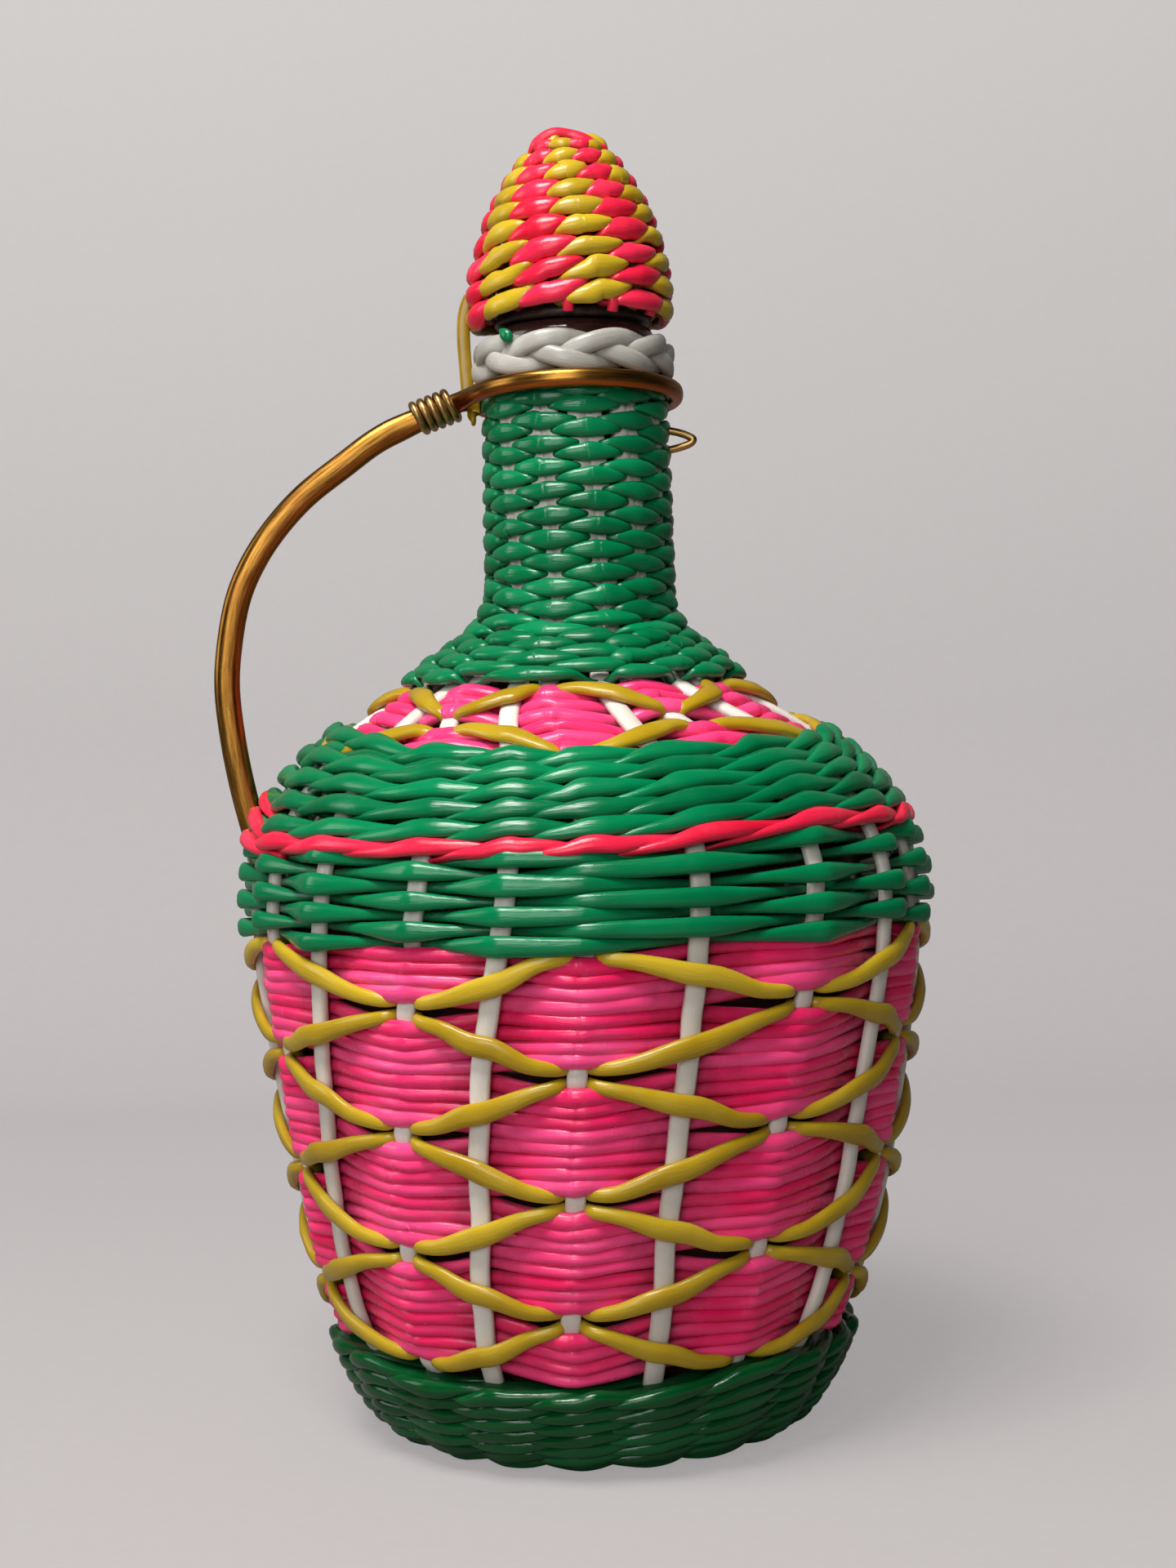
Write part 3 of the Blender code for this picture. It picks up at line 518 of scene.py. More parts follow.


# Each cord's colours: dark, light, dusty, and grimy with painted shade; then dust, dust at its edges, grime
# with painted shade, roughness and dents
cordLooks = {
    "green vinyl cord": ((0, 98, 56), (0, 128, 77), (60, 136, 100), (8, 26, 12), 0.14, 0.5, 0.85, 0.12, 0.3),
    # The base's green is the green cord painted darker as shade near the floor
    "green vinyl cord painted in shade near the floor": (
        (0, 60, 22), (0, 86, 38), (20, 96, 60), (2, 16, 8), 0.1, 0.4, 0.9, 0.08, 0.25,
    ),
    "pink vinyl cord": (
        (234, 20, 88), (252, 76, 138), (242, 136, 158), (96, 10, 24), 0.2, 0.3, 0.75, 0.16, 0.25,
    ),
    "coral vinyl cord": (
        (216, 16, 48), (246, 44, 80), (236, 96, 100), (70, 12, 12), 0.2, 0.3, 0.7, 0.14, 0.3,
    ),
    "olive vinyl cord": (
        (158, 124, 12), (198, 166, 36), (198, 178, 84), (58, 40, 8), 0.2, 0.3, 0.7, 0.14, 0.3,
    ),
    "off-white stake cord": (
        (200, 190, 178), (230, 222, 212), (196, 178, 158), (120, 96, 72), 0.4, 0.3, 0.6, 0.24, 0.25,
    ),
    "white collar cord": (
        (152, 148, 138), (194, 191, 184), (156, 146, 132), (80, 68, 54), 0.35, 0.3, 0.9, 0.18, 0.3,
    ),
}
greenCord, shadedBaseCord, pinkCord, coralCord, oliveCord, stakeCord, collarCord = (
    vinylCord(name, *look) for name, look in cordLooks.items()
)


def goldWire(name, look):
    # Gold-coloured aluminium wire: rubbed brighter in streaks along it, reddish where the colour is worn,
    # with a painted reddish reflection along one edge
    finish = Finish(name)
    place = finish.inPlace()
    lie = finish.attribute("lie", "Vector")
    streak = finish.noise(finish.stretched(lie, (0.06, 2, 2)), 2, 4)
    wear = finish.noise(place, 90, 5, 0.6)
    colour = finish.mixed(finish.clamped(streak, 0.3, 0.7), look["dark"], look["light"])
    colour = finish.mixed(finish.clamped(wear, 0.52, 0.7) * look["worn"], colour, look["wornColour"])
    # Painted reflection: a reddish colour along one edge of the wire's section, in streaks
    side = finish.clamped(finish.along(lie, "Y"), 0.15, 0.75)
    inner = side * finish.clamped(streak, 0.2, 0.5) * look["inner"]
    finish.set(
        Base_Color=finish.mixed(inner, colour, look["reflectedColour"]),
        Metallic=1,
        Roughness=streak * 0.12 + wear * 0.15 + look["roughness"],
        Normal=finish.bump(streak * 0.7 + wear * 0.3, 0.25, 0.0003),
    )
    return finish.material


handleGold = goldWire("gold handle wire", {
    "dark": (120, 80, 30), "light": (182, 130, 58), "worn": 0.35, "wornColour": (150, 80, 40),
    # inner is how strong the painted reddish reflection along one edge is
    "inner": 0.75, "reflectedColour": (206, 92, 44), "roughness": 0.16,
})
tieBrass = goldWire("brass tie wire", {
    "dark": (140, 104, 56), "light": (222, 186, 122), "worn": 0.6, "wornColour": (96, 64, 38),
    "inner": 0, "reflectedColour": (92, 64, 40), "roughness": 0.2,
})


def mottled(name, dark, light, span, noise, roughness):
    # One noise blends two colours over its span, and makes its lighter places rougher
    finish = Finish(name)
    cloud = finish.noise(finish.inPlace(), *noise)
    finish.set(
        Base_Color=finish.mixed(finish.clamped(cloud, *span), dark, light),
        Roughness=cloud * roughness[0] + roughness[1],
    )
    return finish, cloud


# Green-black bottle glass, smeared with dust
glassFinish, smear = mottled(
    "dark bottle glass", (40, 20, 20), (70, 42, 38), (0.4, 0.75), (70, 5, 0.6), (0.3, 0.02)
)
glassFinish.set(Coat_Weight=glassFinish.clamped(smear, 0.7, 0.4))

# Soft clear yellow vinyl, cloudier where it bends
strapFinish, cloud = mottled(
    "yellow strap vinyl", (128, 98, 0), (158, 124, 0), (0.3, 0.7), (160, 4), (0.15, 0.18)
)
strapFinish.set(
    Subsurface_Weight=0.15, Subsurface_Radius=(0.004, 0.003, 0.001),
    Normal=strapFinish.bump(cloud, 0.2, 0.0003),
)

# Old dark moulded plastic with brown scuffs
liningFinish, scuff = mottled(
    "dark stopper lining", (28, 18, 16), (88, 54, 42), (0.45, 0.72), (240, 6, 0.65), (0.3, 0.25)
)
liningFinish.set(Normal=liningFinish.bump(scuff, 0.4, 0.0005))

# Ground cork: pale grains with dark pits between them
corkFinish = Finish("cork")
grain = corkFinish.add("TexVoronoi", {"Vector": corkFinish.inPlace(), "Scale": 620})
pits = corkFinish.noise(corkFinish.inPlace(), 900, 4)
grains = corkFinish.clamped(grain * 0.7 + pits * 0.6, 0.35, 0.75)
corkFinish.set(
    Base_Color=corkFinish.mixed(grains, (94, 62, 36), (182, 138, 92)),
    Roughness=pits * 0.2 + 0.7,
    Normal=corkFinish.bump(grains, 0.6, 0.0004),
)
print("finishes made")

# The glass

glassShape = {
    "foot": 8.3, "footRadius": 36, "wall": 3.5, "bore": 10.6, "neckRadius": 14.8,
    "lipLow": 241.1, "lipRadius": 19, "mouth": 254.5, "lipRound": 3.2,
    "throat": 200, "innerTop": 186, "innerLow": 14, "innerFoot": 24, "mouthBevel": (0.6, 0.8),
}


def glassBottle():
    # The outline goes up the outside, round the lip, and down the inside a wall's thickness in
    shape = glassShape
    foot, bore, mouth = shape["foot"], shape["bore"], shape["mouth"]
    lipLow, lipRound = shape["lipLow"], shape["lipRound"]
    floor, middle, bevel = foot + shape["wall"], shape["lipRadius"] - lipRound, shape["mouthBevel"]
    outer = np.arange(glassLow + 1, lipLow - 2, 2)
    innerMarks = np.arange(shape["innerTop"], shape["innerLow"], -2)
    quarter = np.radians(np.linspace(0, 90, 5))
    outline = np.vstack([
        [(0, foot), (shape["footRadius"] * 0.5, foot), (shape["footRadius"], foot)],
        joined(np.interp(outer, bottleSide.marks, bottleSide.radii), outer),
        [(shape["neckRadius"], lipLow)],
        joined(middle + lipRound * np.sin(quarter), lipLow + lipRound * (1 - np.cos(quarter))),
        joined(middle + lipRound * np.cos(quarter), mouth - lipRound * (1 - np.sin(quarter))),
        [(bore + bevel[0], mouth), (bore, mouth - bevel[1]), (bore, shape["throat"])],
        joined(*bottleSide.at(innerMarks, -shape["wall"])[:2]),
        [(shape["innerFoot"], floor), (0, floor)],
    ])
    lathe("glassBottle", outline, 128, "bottle", ["glass_bottle"], glassFinish.material)


glassBottle()

# Rows woven with two strands

# One bead of a strand and its way behind the next column: how far on (columns), how far down from the front
# to the back, how high, how wide
beadShape = np.array([
    (0, 0, 0, 1), (0.16, 0.01, 0.1, 0.99), (0.34, 0.05, 0.3, 0.87), (0.5, 0.1, 0.55, 0.67),
    (0.63, 0.22, 0.85, 0.44), (0.8, 0.74, 0.95, 0.3), (1, 1, 0, 0.4), (1.2, 0.74, -0.95, 0.3),
    (1.37, 0.22, -0.85, 0.44), (1.5, 0.1, -0.55, 0.67), (1.66, 0.05, -0.3, 0.87), (1.84, 0.01, -0.1, 0.99),
])


def twinedRow(baskets, cover, columns, marks, row, bulge):
    # Two strands, each in front of every other column: a strand goes in high at a bead's right end and comes
    # out low at its left. With an odd count of columns one strand makes two laps. The second strand or lap
    # lies "stagger" higher, and at the back the one lap climbs to the other.
    count = len(columns)
    laps = 1 if count % 2 == 0 else 2
    wholes = np.arange(-1, count * laps + 4)
    column = wholes % count
    climb = np.array([count - 15, count - 10])
    on, down, high, wide = beadShape.T
    for start in range(3 - laps):
        beads = np.arange(start, start + count * laps, 2)
        step = beads[:, None] + on
        stake = np.interp(step, wholes, columns[column] + cover.around * (wholes // count))
        lap = start if laps == 1 else smoothStep(*climb, step) - smoothStep(*(climb + count), step)
        mark = np.interp(step, wholes, marks[column]) + row["stagger"] * lap
        jitter = chance.normal(size=(4, len(beads), 1))
        near = 1 - down
        rows = joined(
            stake + 0.03 * jitter[0] * near,
            mark + row["climb"] * high + row["wander"] * jitter[1] * near,
            np.interp(step, wholes, bulge[column]) + row["front"] + (row["back"] - row["front"]) * down,
            row["wide"] * wide * (1 + 0.06 * jitter[2] * near),
            row["thick"] * (0.75 + 0.25 * wide),
            5 * jitter[3] * near,
        )
        baskets[start % len(baskets)].lay(cover, rows, 3, cover.around * laps, 12, row["square"])


neckRow = {
    "rows": 14, "single": 3, "low": 5, "high": 2.2, "wide": 2.15, "thick": 1.35, "square": 0.8,
    "front": -1.3, "back": -5.4, "climb": 0.1, "wander": 0.15, "stagger": 2.75,
}
# How much lower or higher than at the front left each pair of stakes holds its beads
pairDrop = np.array([0, 0.3, -0.2, -0.5, -0.4, -0.2, 0, 0.3, 0.2, 0.6, 0.7, 0.6])
pairColumns = 2 * np.arange(12) - 0.5


def neckGreen():
    # The lowest rows of the flare pass the stakes one by one, but for one wide column at the front
    neck, root = Basket(), Basket()
    rise, low = neckRow["rows"], neckRow["single"]
    levels = neckSide.spaced(neckRow["low"], neckSide.marks[-1] - neckRow["high"], rise, neckRow["front"])
    single = np.concatenate([[-0.5], np.arange(1, 23)])
    for level, mark in enumerate(levels):
        columns = single if level < low else pairColumns
        drop = np.interp(columns, pairColumns, pairDrop) * smoothStep(0, 5, level)
        drop *= smoothStep(rise - 0.5, rise - 3, level)
        twinedRow([root if level <= low else neck], neckSide, columns, mark + drop, neckRow, 0 * columns)
    neck.make("neckGreen", "green_cord", ["neck_weave"], greenCord)
    root.make("rootGreen", "green_cord", ["neck_root_weave"], greenCord)


neckGreen()

# Rows woven with three strands

# One float of a strand: how far on (stakes), how far out, how high (pitches), how wide
waleFloat = np.array([
    (-0.8, 4.6, -0.42, 0.26), (-0.55, 6.4, -0.36, 0.42), (-0.26, 7.3, -0.18, 0.72), (0.02, 7.7, 0.05, 1),
    (0.26, 7.4, 0.08, 0.92), (0.6, 6.4, 0.1, 0.66), (0.98, 5.2, 0.12, 0.44), (1.45, 3.4, 0, 0.36),
    (1.85, 1.6, -0.2, 0.4), (2.05, 2.6, -0.36, 0.3),
])
floatTop = 7.6


def waleRow(basket, cover, mark, row, shift):
    # Three strands, each over two stakes and behind the third, one stake apart
    lap = np.arange(stakeCount // 3)[:, None]
    on, out, high, wide = waleFloat.T
    for strand in range(3):
        jitter = chance.normal(size=(3, len(lap), len(waleFloat)))
        stake = shift + strand + 3 * lap + on + 0.03 * jitter[0]
        height = mark + row["pitch"] * high + row["wander"] * jitter[1]
        height += np.interp(facing(stakeTurn(stake, stakes["bandHeight"])), *row["rise"])
        offset = (out - floatTop) * row["sink"] + row["front"]
        rows = joined(stake, height, offset, row["wide"] * wide * (1 + 0.04 * jitter[2]), row["thick"])
        basket.lay(cover, rows, 6, stakeCount)


upperRow = {
    "rows": 5, "low": 138.4, "high": 150.6, "pitch": 3.4, "wide": 2.3, "thick": 1.45, "front": 7.6,
    "sink": 1, "wander": 0.12, "spareRise": 0.85, "spareIn": 1, "spareWide": 1.8,
}
redRow = {"mark": 135.5, "pitch": 3, "wide": 2, "thick": 1.4, "front": 7.6, "sink": 1, "wander": 0.15}
baseRow = {
    "rows": 8, "low": 34, "high": 62, "pitch": 4, "wide": 2.1, "thick": 1.6, "front": 0.3,
    "sink": 1.2, "wander": 0.2,
}

# How much higher the red row and the band's top row hang at each turn, beside their height at the front
redRise = (
    (-180, -110, -85, -60, -20, 5, 20, 42, 62, 90, 180),
    (1, 0, -0.8, 0, -0.3, -0.3, 0.8, 2.6, 1.9, 1, 1),
)
topRise = ((-180, -80, -55, -35, 0, 40, 80, 180), (4, 5.2, 4.2, 1.2, 0, 0.8, 2.4, 4))
# The base's top rows hang lower at the front
baseRise = (
    (-180, -95, -62, -44, -24, 0, 20, 42, 60, 95, 180),
    (-2, -2.2, -1, 0, -2.8, -3.3, -3, 0, -1, -2.2, -2),
)


def upperGreen():
    # The rows spread from the red one up to the top one, and a spare row fills the band where it is high
    basket = Basket()
    shape = upperRow
    marks = bottleSide.spaced(shape["low"], shape["high"], shape["rows"], 7)
    turns = np.linspace(-180, 180, 73)
    low, high = np.interp(turns, *redRise), np.interp(turns, *topRise)
    for level, mark in enumerate(marks):
        share = level / (shape["rows"] - 1)
        waleRow(basket, bottleSide, mark, {**shape, "rise": (turns, low + (high - low) * share)}, level % 3)
    spare = {**shape, "rise": (turns, high * shape["spareRise"]), "wide": shape["spareWide"]}
    spare["front"] -= shape["spareIn"]
    waleRow(basket, bottleSide, (marks[-2] + marks[-1]) / 2, spare, 2)
    basket.make("upperGreen", "green_cord", ["upper_green_band"], greenCord)


# The red strands part at the handle's foot, as (turn, mark on the glass, how far out, how wide)
footThick = 1.4
footStrands = (
    (
        (-85.5, 135.6, 5, 1.1), (-82.5, 135.2, 8.2, 1.7), (-77, 134.8, 8.6, 1.9),
        (-69, 133.8, 7.2, 1.4), (-61, 133.4, 4.6, 0.9),
    ),
    (
        (-85.8, 139.6, 5.2, 1.1), (-82.8, 139.2, 8.6, 1.7), (-76.5, 138.6, 8.9, 2),
        (-69, 136.6, 7.6, 1.5), (-60, 134.6, 4.8, 0.9),
    ),
    (
        (-84, 142.8, 5, 1), (-81, 142.8, 8, 1.6), (-77, 142, 8.3, 1.8),
        (-72, 140.6, 6.6, 1.3), (-66, 139.2, 4.2, 0.8),
    ),
)


def redWale():
    basket = Basket()
    waleRow(basket, bottleSide, redRow["mark"], {**redRow, "rise": redRise}, 1)
    for strand in footStrands:
        turn, mark, out, wide = threaded(np.array(strand), 7).T
        path, outward = bottleSide.place(turn, mark, out)
        basket.skin(path, outward, wide, footThick, roundedSection(12, 0.85))
    basket.make("redWale", "red_cord", ["red_wale_row"], coralCord)


def baseWale():
    basket = Basket()
    for level, mark in enumerate(heel.spaced(baseRow["low"], baseRow["high"], baseRow["rows"], 0)):
        hang = np.array(baseRise[1]) * (level / (baseRow["rows"] - 1)) ** 1.5
        waleRow(basket, heel, mark, {**baseRow, "rise": (baseRise[0], hang)}, level % 3)
    # The base's cords take the green painted darker as shade
    basket.make("baseWale", "green_cord", ["base_wale_band"], shadedBaseCord)


upperGreen()
redWale()
baseWale()

# The lower green band, one cord wound seven times

lowerBand = {
    "turns": 7, "low": 115.2, "high": 133.4, "first": 12,
    "front": 7.2, "back": 1.5, "wide": 2.25, "narrow": 0.9, "thick": 1.4, "wander": 0.12,
    "kink": 0.14, "kinkSink": 0.9, "betweenSink": 0.3, "betweenWide": 0.78, "longSink": 0.9, "longWide": 0.8,
}


def lowerGreen():
    # The cord goes in front of and behind every other stake, but floats over stake 0, so each turn
    # passes an odd count of stakes and the floats change over
    shape = lowerBand
    passed, turns = stakeCount - 1, shape["turns"]
    step = np.arange(shape["first"], shape["first"] + passed * turns + 1)
    stake = 1 + stakeCount * (step // passed) + step % passed
    stake = np.concatenate([stake, stakeCount * np.arange(1, turns + 1)])
    front = np.concatenate([step % 2 == 0, np.ones(turns, dtype=bool)])
    order = np.argsort(stake)
    stake, front = stake[order], front[order]
    jitter = chance.normal(size=(3, len(stake)))
    over = stake % stakeCount == 0
    offset = np.where(front, shape["front"], shape["back"]) - shape["longSink"] * over
    wide = np.where(front, shape["wide"] * np.where(over, shape["longWide"], 1), shape["narrow"])
    wide *= 1 + 0.05 * jitter[2]
    sway = shape["wander"] * jitter[1]
    # Between stakes the cord runs nearly straight, with a kink on each side of the stake that it passes
    parts = []
    for share in (-shape["kink"], 0, shape["kink"]):
        near = -1 if share > 0 else 1
        mix = abs(share) * shape["kinkSink"]
        to, toWide = np.roll(offset, near), np.roll(wide, near)
        parts.append((stake + share, sway, offset + (to - offset) * mix, wide + (toWide - wide) * abs(share)))
    narrowing = np.where(over | np.roll(over, -1), 1, shape["betweenWide"])
    parts.append((
        stake + 0.5, 0, (offset + np.roll(offset, -1)) / 2 - shape["betweenSink"],
        (wide + np.roll(wide, -1)) / 2 * narrowing,
    ))
    stake, sway, offset, wide = np.stack([joined(*part) for part in parts], axis=1)[1:-1].reshape(-1, 4).T
    wound = (stake - 1) / stakeCount
    climb = bottleSide.spaced(shape["low"], shape["high"], turns + 1, 6)
    turn = facing(stakeTurn(stake, stakes["bandHeight"]))
    mark = np.interp(wound, np.arange(turns + 1), climb) + sway + (0.5 - 0.5 * np.sin(np.radians(turn)))
    mark += np.interp(turn, *redRise) * smoothStep(turns - 2.5, turns - 0.2, wound) * 0.8
    basket = Basket()
    basket.lay(bottleSide, joined(stake, mark, offset, wide, shape["thick"]), 4, square=0.8)
    basket.make("lowerGreen", "green_cord", ["lower_green_band"], greenCord)


lowerGreen()

# The pink blocks

sidePanel = {
    "low": 26.5, "high": 117.8, "levels": 7, "rowsPerLevel": 4, "gap": 5, "gapParity": 1, "sideRise": 2.6,
    "sag": 2.4, "crest": 4.9, "furrow": 1.3, "sink": (0.1, 0.62), "wide": 1.68, "thick": 1.6, "wander": 0.12,
}
shoulderPanel = {
    "low": 151, "high": 167.6, "levels": 2, "rowsPerLevel": 3, "gap": 2.6, "gapParity": 0, "sideRise": 0,
    "sag": 0, "crest": 4.8, "furrow": 2, "sink": (0.05, 0.42), "wide": 1.9, "thick": 1.6, "wander": 0.12,
}


def panelMark(panel, stake, level):
    # The rows hang a little higher at the sides, rise * (1 - cos(turn)), and the lowest sag at the front
    share = np.clip(level / panel["levels"], 0, 1)
    ahead = np.cos(np.radians(stakeTurn(stake, stakes["panelHeight"])))
    hang = np.minimum(panel["sideRise"], panel["sideRise"] * (1 - ahead) * np.sin(np.pi * share) ** 0.5)
    sag = panel["sag"] * np.maximum(0, ahead) ** 10 * np.maximum(0, 1 - level)
    levels = np.arange(panel["levels"] + 1)
    marks = bottleSide.spaced(panel["low"], panel["high"], len(levels), panel["crest"])
    return np.interp(level, levels, marks) + hang - sag


def panelRowHeight(panel, row, parity):
    # A block spans two levels between gaps, and its rows lie close: centre + (row - middle row) * pitch
    each = panel["rowsPerLevel"]
    block = np.floor((row - parity * each) / (2 * each))
    inside = row - parity * each - 2 * each * block
    levelHeight = (panel["high"] - panel["low"]) / panel["levels"]
    pitch = (2 - panel["gap"] / levelHeight) / (2 * each)
    return parity + 2 * block + 1 + (inside - each + 0.5) * pitch


def pinkPanel(name, panel, node):
    # Each row goes over the even stakes and under the odd ones, where the rows lie evenly. Stakes 0, 4, 8
    # have gaps at one set of levels and stakes 2, 6, 10 at the other: the height leans by |cos(pi s / 2)|
    # from the even spacing to the block's. The rows beside a gap are fuller.
    basket = Basket()
    each, parities = panel["rowsPerLevel"], (panel["gapParity"], 1 - panel["gapParity"])
    stake = (2 * np.arange(12)[:, None] + np.array([0, 0.14, 0.55, 1, 1.45, 1.86])).ravel()
    sink = np.tile([0, *panel["sink"], 1, *panel["sink"][::-1]], 12)
    near = np.cos(np.pi * stake / 2)
    for row in range(panel["levels"] * each):
        edges = [(row - parity * each) % (2 * each) in (0, 2 * each - 1) for parity in parities]
        fuller = 1 + 0.24 * np.where(near > 0, *edges) * np.abs(near)
        even = (row + 0.5) / each
        leans = [panelRowHeight(panel, row, parity) - even for parity in parities]
        level = even + np.where(near > 0, *leans) * np.abs(near)
        jitter = chance.normal(size=(4, len(stake)))
        rows = joined(
            stake + 0.02 * jitter[0], panelMark(panel, stake, level) + panel["wander"] * jitter[1],
            panel["crest"] + (panel["furrow"] - panel["crest"]) * sink + 0.1 * jitter[2],
            panel["wide"] * fuller * (1 + 0.06 * chance.normal() + 0.05 * jitter[3]), panel["thick"],
        )
        basket.lay(bottleSide, rows, 4, stakeCount, 10, 0.95)
    basket.make(name, "pink_cord", [node], pinkCord)


pinkPanel("pinkSide", sidePanel, "pink_panel_weave")
pinkPanel("pinkShoulder", shoulderPanel, "shoulder_panel_weave")

# The stakes

# Offsets of the stakes that show over the pink blocks, and of those hidden in them, by mark on the glass
shownStake = np.array([
    (11, 2.4), (20, 2.6), (25, 3.4), (29, 4.2), (36, 4.35), (60, 4.35), (90, 4.35),
    (110, 4.3), (117, 3.9), (125, 3.9), (132, 3.9), (137, 4.3), (144, 4.4), (150, 4.4),
    (154, 4.5), (162, 4.4), (167.5, 3.6), (176, 3.9), (186, 4.1), (200, 4.2), (215, 4.2),
    (230, 4.2), (239.4, 3.6),
])
hiddenStake = np.array([
    (11, 2.4), (22, 2.4), (117, 2.4), (119, 3.9), (132, 3.9), (137, 4.3), (150, 4.4),
    (154, 2.2), (164, 2.4), *shownStake[-7:],
])
stakeSize = {"wide": 2.2, "thick": 1.25, "wander": 0.015, "nodeLift": 1.6, "reach": 5}


def shownOffsets(stake, marks):
    return np.interp(marks, *shownStake.T)


def hiddenOffsets(stake, marks):
    # Under the pink crests the stake lies low, and it comes up at the gaps that show it
    offset = np.interp(marks, *hiddenStake.T)
    for panel in (sidePanel, shoulderPanel):
        first = panel["gapParity"] if stake % 4 == 0 else 1 - panel["gapParity"]
        inside = (marks > panel["low"] - 1) & (marks < panel["high"] + 1)
        for level in range(first, panel["levels"] + 1, 2):
            rise = 1 - np.minimum(1, np.abs(marks - panelMark(panel, stake, level)) / stakeSize["reach"])
            offset = offset + stakeSize["nodeLift"] * rise * inside
    return offset


def stakeCords(name, start, offsetsFor, nodes):
    basket = Basket()
    marks = np.concatenate([np.arange(11, 116, 3.2), np.arange(117, 239.5, 4)])
    for stake in range(start, start + stakeCount, 2):
        drift = np.convolve(chance.normal(size=len(marks) + 2), (0.3, 0.4, 0.3), "valid")
        rows = joined(
            stake + drift * stakeSize["wander"], marks, offsetsFor(stake, marks),
            stakeSize["wide"], stakeSize["thick"],
        )
        basket.lay(bottleSide, rows, 3, sides=10, square=0.7)
    basket.make(name, "white_cord", nodes, stakeCord)


stakeNodes = [f"{band}_stake_{i:02d}" for band in ("side", "shoulder") for i in range(1, 13)]
stakeCords("shownStakes", -5, shownOffsets, stakeNodes)
stakeCords("hiddenStakes", -4, hiddenOffsets, [])

# The olive zigzags

latticeCord = {"wide": 1.92, "thick": 1.25, "spread": 1.85}
# From one node to the next: how far on (stakes), share of the climb, how far out, how wide
latticeLeg = np.array([
    (0, 0, 1, 0.62), (0.1, -0.01, 2.4, 0.68), (0.2, 0, 4.8, 0.78), (0.5, 0.11, 6, 0.94),
    (0.87, 0.38, 6.6, 1.22), (1.13, 0.54, 6.6, 1.22), (1.5, 0.87, 6, 0.94), (1.8, 1, 4.8, 0.78),
    (1.9, 1.01, 2.4, 0.68),
])


def zigzags(name, panel, nodes):
    # Each cord goes from a node at its level to the next, two stakes on at the level above, and back down
    basket = Basket()
    leg = np.arange(12)[:, None]
    on, climb, out, wide = latticeLeg.T
    stake, lift = 2 * leg + on, latticeCord["spread"]
    for level in range(panel["levels"]):
        rising = (leg % 2 == 0) == ((level % 2 == 0) != (panel["gapParity"] == 1))
        low, high = panelMark(panel, stake, level), panelMark(panel, stake, level + 1)
        mark = (low + lift) + (high - low - 2 * lift) * np.where(rising, climb, 1 - climb)
        jitter = chance.normal(size=(2, *stake.shape))
        rows = joined(
            stake + 0.02 * jitter[0], mark + 0.12 * jitter[1], out,
            wide * latticeCord["wide"], latticeCord["thick"],
        )
        basket.lay(bottleSide, rows, 6, stakeCount)
    basket.make(name, "olive_cord", nodes, oliveCord)


zigzags("sideLattice", sidePanel, [f"lattice_cord_{i}" for i in range(1, 8)])
zigzags("shoulderLattice", shoulderPanel, ["shoulder_lattice_cord_1", "shoulder_lattice_cord_2"])

matShape = {"rows": 8, "inner": 4, "pitch": 4.1, "height": 3.3, "swing": 1.2, "wide": 1.76, "thick": 1.7}


def baseMat():
    # The mat under the bottle: rings of two cords twined, laid flat from the middle out
    shape = matShape
    basket = Basket()
    for ring in range(shape["rows"]):
        radius, beads = shape["inner"] + shape["pitch"] * ring, 4 + 3 * ring
        turn = np.radians(np.linspace(0, 360, 16 * beads, endpoint=False))
        for strand in (0, 1):
            wave = np.cos(beads * turn + np.pi * strand)
            path = ringed(radius, turn, shape["height"] - shape["swing"] * wave)
            down, section = np.broadcast_to([0, 0, -1], path.shape), roundedSection(10, 0.85)
            basket.skin(path, down, shape["wide"], shape["thick"], section, True, 0.5 - 0.5 * wave)
    basket.make("baseMat", "green_cord", ["base_mat"], greenCord)


baseMat()

collarShape = {
    "radius": 21.5, "height": 246.4, "repeats": 3, "rise": 2.75, "depth": 0.95, "wide": 2.3, "thick": 1.4,
}


def collarPlait():
    # A plait of three: height swings once while the depth swings twice, each strand a third of a swing behind
    shape = collarShape
    basket = Basket()
    turn = np.linspace(0, 2 * np.pi, 480, endpoint=False)
    outward = ringed(1, turn, 0)
    for strand in range(3):
        swing = shape["repeats"] * turn + 2 * np.pi * strand / 3
        inOut = np.sin(2 * swing)
        height = shape["height"] + shape["rise"] * np.sin(swing)
        path = ringed(shape["radius"] + shape["depth"] * inOut, turn, height)
        section = roundedSection(14, 0.8)
        basket.skin(path, outward, shape["wide"], shape["thick"], section, True, 0.5 - 0.5 * inOut)
    basket.make("collarPlait", "white_cord", ["neck_braid"], collarCord)


# A scrap of green vinyl caught in the plait, its route as (right, back, up)
scrapShape = {
    "route": ((-16.4, -17.2, 251.8), (-15.5, -18, 251), (-14.5, -18.7, 250), (-13.6, -19, 249.5)),
    "wide": 1.5, "thick": 0.9,
}


def greenScrap():
    path = threaded(np.array(scrapShape["route"]), 5)
    tip = np.sin(np.linspace(0.3, 2.6, len(path)))
    outward = unit(path * [1, 1, 0])
    basket = Basket()
    basket.skin(path, outward, scrapShape["wide"] * tip, scrapShape["thick"] * tip, roundedSection(10, 1))
    basket.make("greenScrap", "green_cord", [], greenCord)


collarPlait()
greenScrap()

# Handle, lasso, tie wire, hook and strap

handleShape = {
    "side": 2.05, "sideFrom": 80, "sideOver": 40, "gripWide": 3, "gripThick": 2.2,
    "ringRadius": 23.9, "ringHeight": 238.5, "ringTilt": 1.4, "ringWide": 2.1, "ringThick": 1.6,
    "bindMiddle": (-32.6, 0, 236), "bindSlope": 20, "bindReach": 6.3, "bindLength": 9.8, "bindTurns": 5,
    "wireHalf": 1.9, "bindGap": 0.3, "tieWire": 0.92, "tailEnd": 4.4,
    "groove": 0.12, "grooveAt": 0.25, "grooveWide": 0.16,
}
